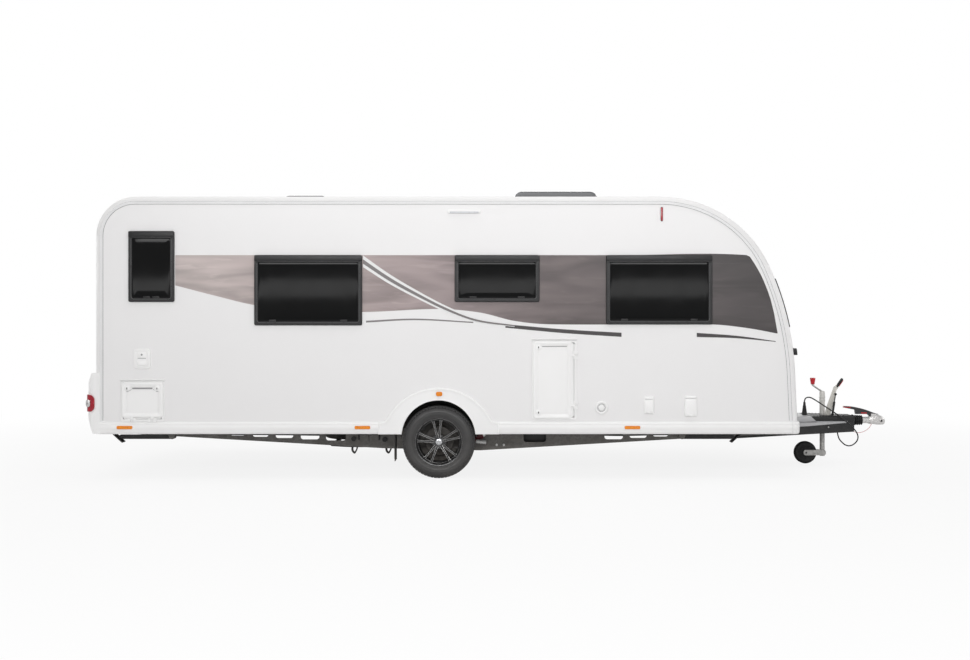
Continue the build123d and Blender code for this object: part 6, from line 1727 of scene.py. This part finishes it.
release_start = grip_start + Vector((0.0118, 0.0, -0.0080))
release = bead([release_start + way * d for d in (0.016, long * 0.5, long - 0.006)], 0.0055, signal_red)
piece("lever_release", release, signal_red, "caravan")
foot = Vector((3.157, -0.069, 0.482))
top = Vector((3.188, -0.069, 0.676))
way = (top - foot).normalized()
long = (top - foot).length
strut_section = [
    # radius, distance along the strut
    (0, 0), (0.0105, 0.001), (0.0105, long * 0.62), (0.0090, long * 0.625), (0.0048, long * 0.63),
    (0.0048, long), (0, long),
]
strut = lathe(strut_section, foot, way, 24)
STRUT_EYE = [(0, -0.012), (0.0095, -0.012), (0.0095, 0.012), (0, 0.012)]
eyes = [lathe(STRUT_EYE, p, LEFTWARD, 20) for p in (foot, top)]
piece("lever_strut", gather("strut", strut, *eyes), gaiter_rubber, "caravan")

# Jockey wheel: a galvanised tube wound up and down by a crank with a red knob, and a swivel fork below.
# The wheel is a black rubber tyre on a ribbed plastic disc.
zinc_tube = finish("zinc_tube", (0.50, 0.495, 0.48), 0.40, shade=0.12, scale=9.0, zinc=True, grain=0.08,
                   Metallic=0.5)
zinc_pale = finish("zinc_pale", (0.72, 0.71, 0.68), 0.36, shade=0.06, scale=9.0, grain=0.08, Metallic=0.2)
jockey_black = finish("jockey_black", (0.005, 0.005, 0.005), 0.62, shade=0.2, scale=16.0, grain=0.5,
                      grain_scale=300.0)
dress(zinc_tube, "jockey_tube", "jockey_fork")
UPWARD = (0, 0, 1)
POST_SLEEVE = [
    # radius, height
    (0.0243, 0.0), (0.0253, 0.001), (0.0253, 0.120), (0.0285, 0.123), (0.0285, 0.135), (0.0262, 0.138),
    (0.0262, 0.150), (0.0285, 0.153), (0.0285, 0.165), (0.0255, 0.168), (0.0255, 0.205), (0.0240, 0.214),
    (0.012, 0.220), (0, 0.220), (0, 0.212), (0.0243, 0.205), (0.0243, 0.0),
]
CRANK_KNOB = [
    # radius, height
    (0, -0.0010), (0.0150, -0.0010), (0.0180, 0.003), (0.0205, 0.022), (0.0252, 0.050), (0.0262, 0.058),
    (0.0240, 0.0632), (0.012, 0.0642), (0, 0.0642),
]
sleeve = lathe(POST_SLEEVE, (3.079, 0, 0.484), UPWARD, 36)
piece("jockey_sleeve", sleeve, zinc_pale, "jockey_post")
knob = lathe(CRANK_KNOB, (2.987, 0, 0.767), UPWARD, 32)
piece("jockey_knob", knob, signal_red, "jockey_post")
WHEEL = Vector((2.912, 0.0, 0.108))
WHEEL_SIDE = [
    # radius, distance from the middle of the wheel
    (0.012, -0.026), (0.030, -0.024), (0.066, -0.024), (0.072, -0.0285), (0.090, -0.0298),
    (0.1005, -0.0265), (0.1065, -0.018),
]
grooves = []
for d in (-0.010, 0.0, 0.010):
    grooves += [(0.1078, d - 0.0040), (0.1064, d - 0.0025), (0.1064, d + 0.0025), (0.1078, d + 0.0040)]
profile = WHEEL_SIDE + grooves + [(r, -h) for r, h in WHEEL_SIDE[::-1]] + WHEEL_SIDE[:1]
tyre = lathe(profile, WHEEL, LEFTWARD, 72)
tyre = piece("jockey_tyre", tyre, jockey_black, "jockey_roller", 40.0)
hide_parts("jockey_wheel")
webs = []
for k in range(8):
    spin = Matrix.Rotation(math.radians(45 * k), 4, "Y")
    turn = Matrix.Translation(WHEEL) @ spin @ Matrix.Translation(-WHEEL)
    for y in (-0.0272, 0.0235):
        web = soft_box((WHEEL.x + 0.020, y, WHEEL.z - 0.003),
                       (WHEEL.x + 0.067, y + 0.0037, WHEEL.z + 0.003), 0.0006)
        web.transform(turn)
        webs.append(web)
piece("jockey_wheel_webs", gather("webs", *webs), jockey_black, "jockey_roller")
axle_nuts = fixings([(WHEEL.x, 0.042, WHEEL.z)], LEFTWARD, 0.009, 0.006, bolt_dark)
piece("jockey_axle_nuts", both_sides(axle_nuts), bolt_dark, "jockey_castor")

# Cables: a black supply cable from the parked plug, over the hitch and round in a loop under the drawbar,
# and a thin red breakaway cable from the housing to the coupling head. Both hang slack.
cable_black = finish("cable_black", (0.012, 0.012, 0.012), 0.45, shade=0.2, scale=20.0, grain=0.3,
                     grain_scale=300.0)
cable_red = finish("cable_red", (0.50, 0.03, 0.03), 0.4, shade=0.15, scale=20.0, grain=0.3,
                   grain_scale=400.0)
profile = [(0, 0.0), (0.0240, 0.0), (0.0240, 0.022)]
for k in range(7):
    r = 0.0232 - 0.0013 * k
    h = 0.010 * k
    profile += [(r, 0.026 + h), (r, 0.032 + h), (r - 0.0018, 0.0335 + h), (r - 0.0018, 0.0350 + h)]
profile += [(0.0125, 0.100), (0.0105, 0.127), (0.0090, 0.1290), (0, 0.1290)]
plug = lathe(profile, (2.885, -0.075, COVER_TOP), UPWARD, 32)
plug = piece("ribbed_plug", plug, gaiter_rubber, "caravan")
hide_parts("cable_plug")
SUPPLY = [
    # x, y, z of the control points, from the plug to the drawbar
    (2.885, -0.075, 0.6026), (2.887, -0.075, 0.638), (2.933, -0.086, 0.652), (2.995, -0.101, 0.614),
    (3.064, -0.120, 0.566), (3.151, -0.146, 0.506), (3.238, -0.166, 0.440), (3.312, -0.166, 0.374),
    (3.362, -0.160, 0.318), (3.380, -0.154, 0.268), (3.362, -0.149, 0.219), (3.312, -0.146, 0.184),
    (3.262, -0.146, 0.188), (3.220, -0.148, 0.222), (3.188, -0.151, 0.262), (3.179, -0.152, 0.31265),
]
BREAKAWAY = [
    # x, y, z of the control points, from the housing to the head
    (3.363, -0.025, 0.3386), (3.366, -0.025, 0.316), (3.401, -0.025, 0.301), (3.437, -0.025, 0.299),
    (3.479, -0.025, 0.312), (3.517, -0.025, 0.336), (3.539, -0.025, 0.362), (3.548, -0.025, 0.384),
]


def cable(name, route, diameter, material, node):
    """Smooth cable along the control points of its route, standing for its CAD solid."""
    curve = bpy.data.curves.new(name, "CURVE")
    curve.dimensions = "3D"
    curve.bevel_depth = diameter / 2
    curve.bevel_resolution = 3
    curve.resolution_u = 10
    curve.use_fill_caps = True
    line = curve.splines.new("NURBS")
    line.points.add(len(route) - 1)
    for knot, p in zip(line.points, route):
        knot.co = (*p, 1.0)
    line.order_u = 3
    line.use_endpoint_u = True
    curve.materials.append(material)
    run = add(name, curve)
    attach(run, "caravan")
    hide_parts(node)
    return run


supply = cable("supply_run", SUPPLY, 0.012, cable_black, "supply_cable")
breakaway = cable("breakaway_run", BREAKAWAY, 0.004, cable_red, "breakaway_cable")
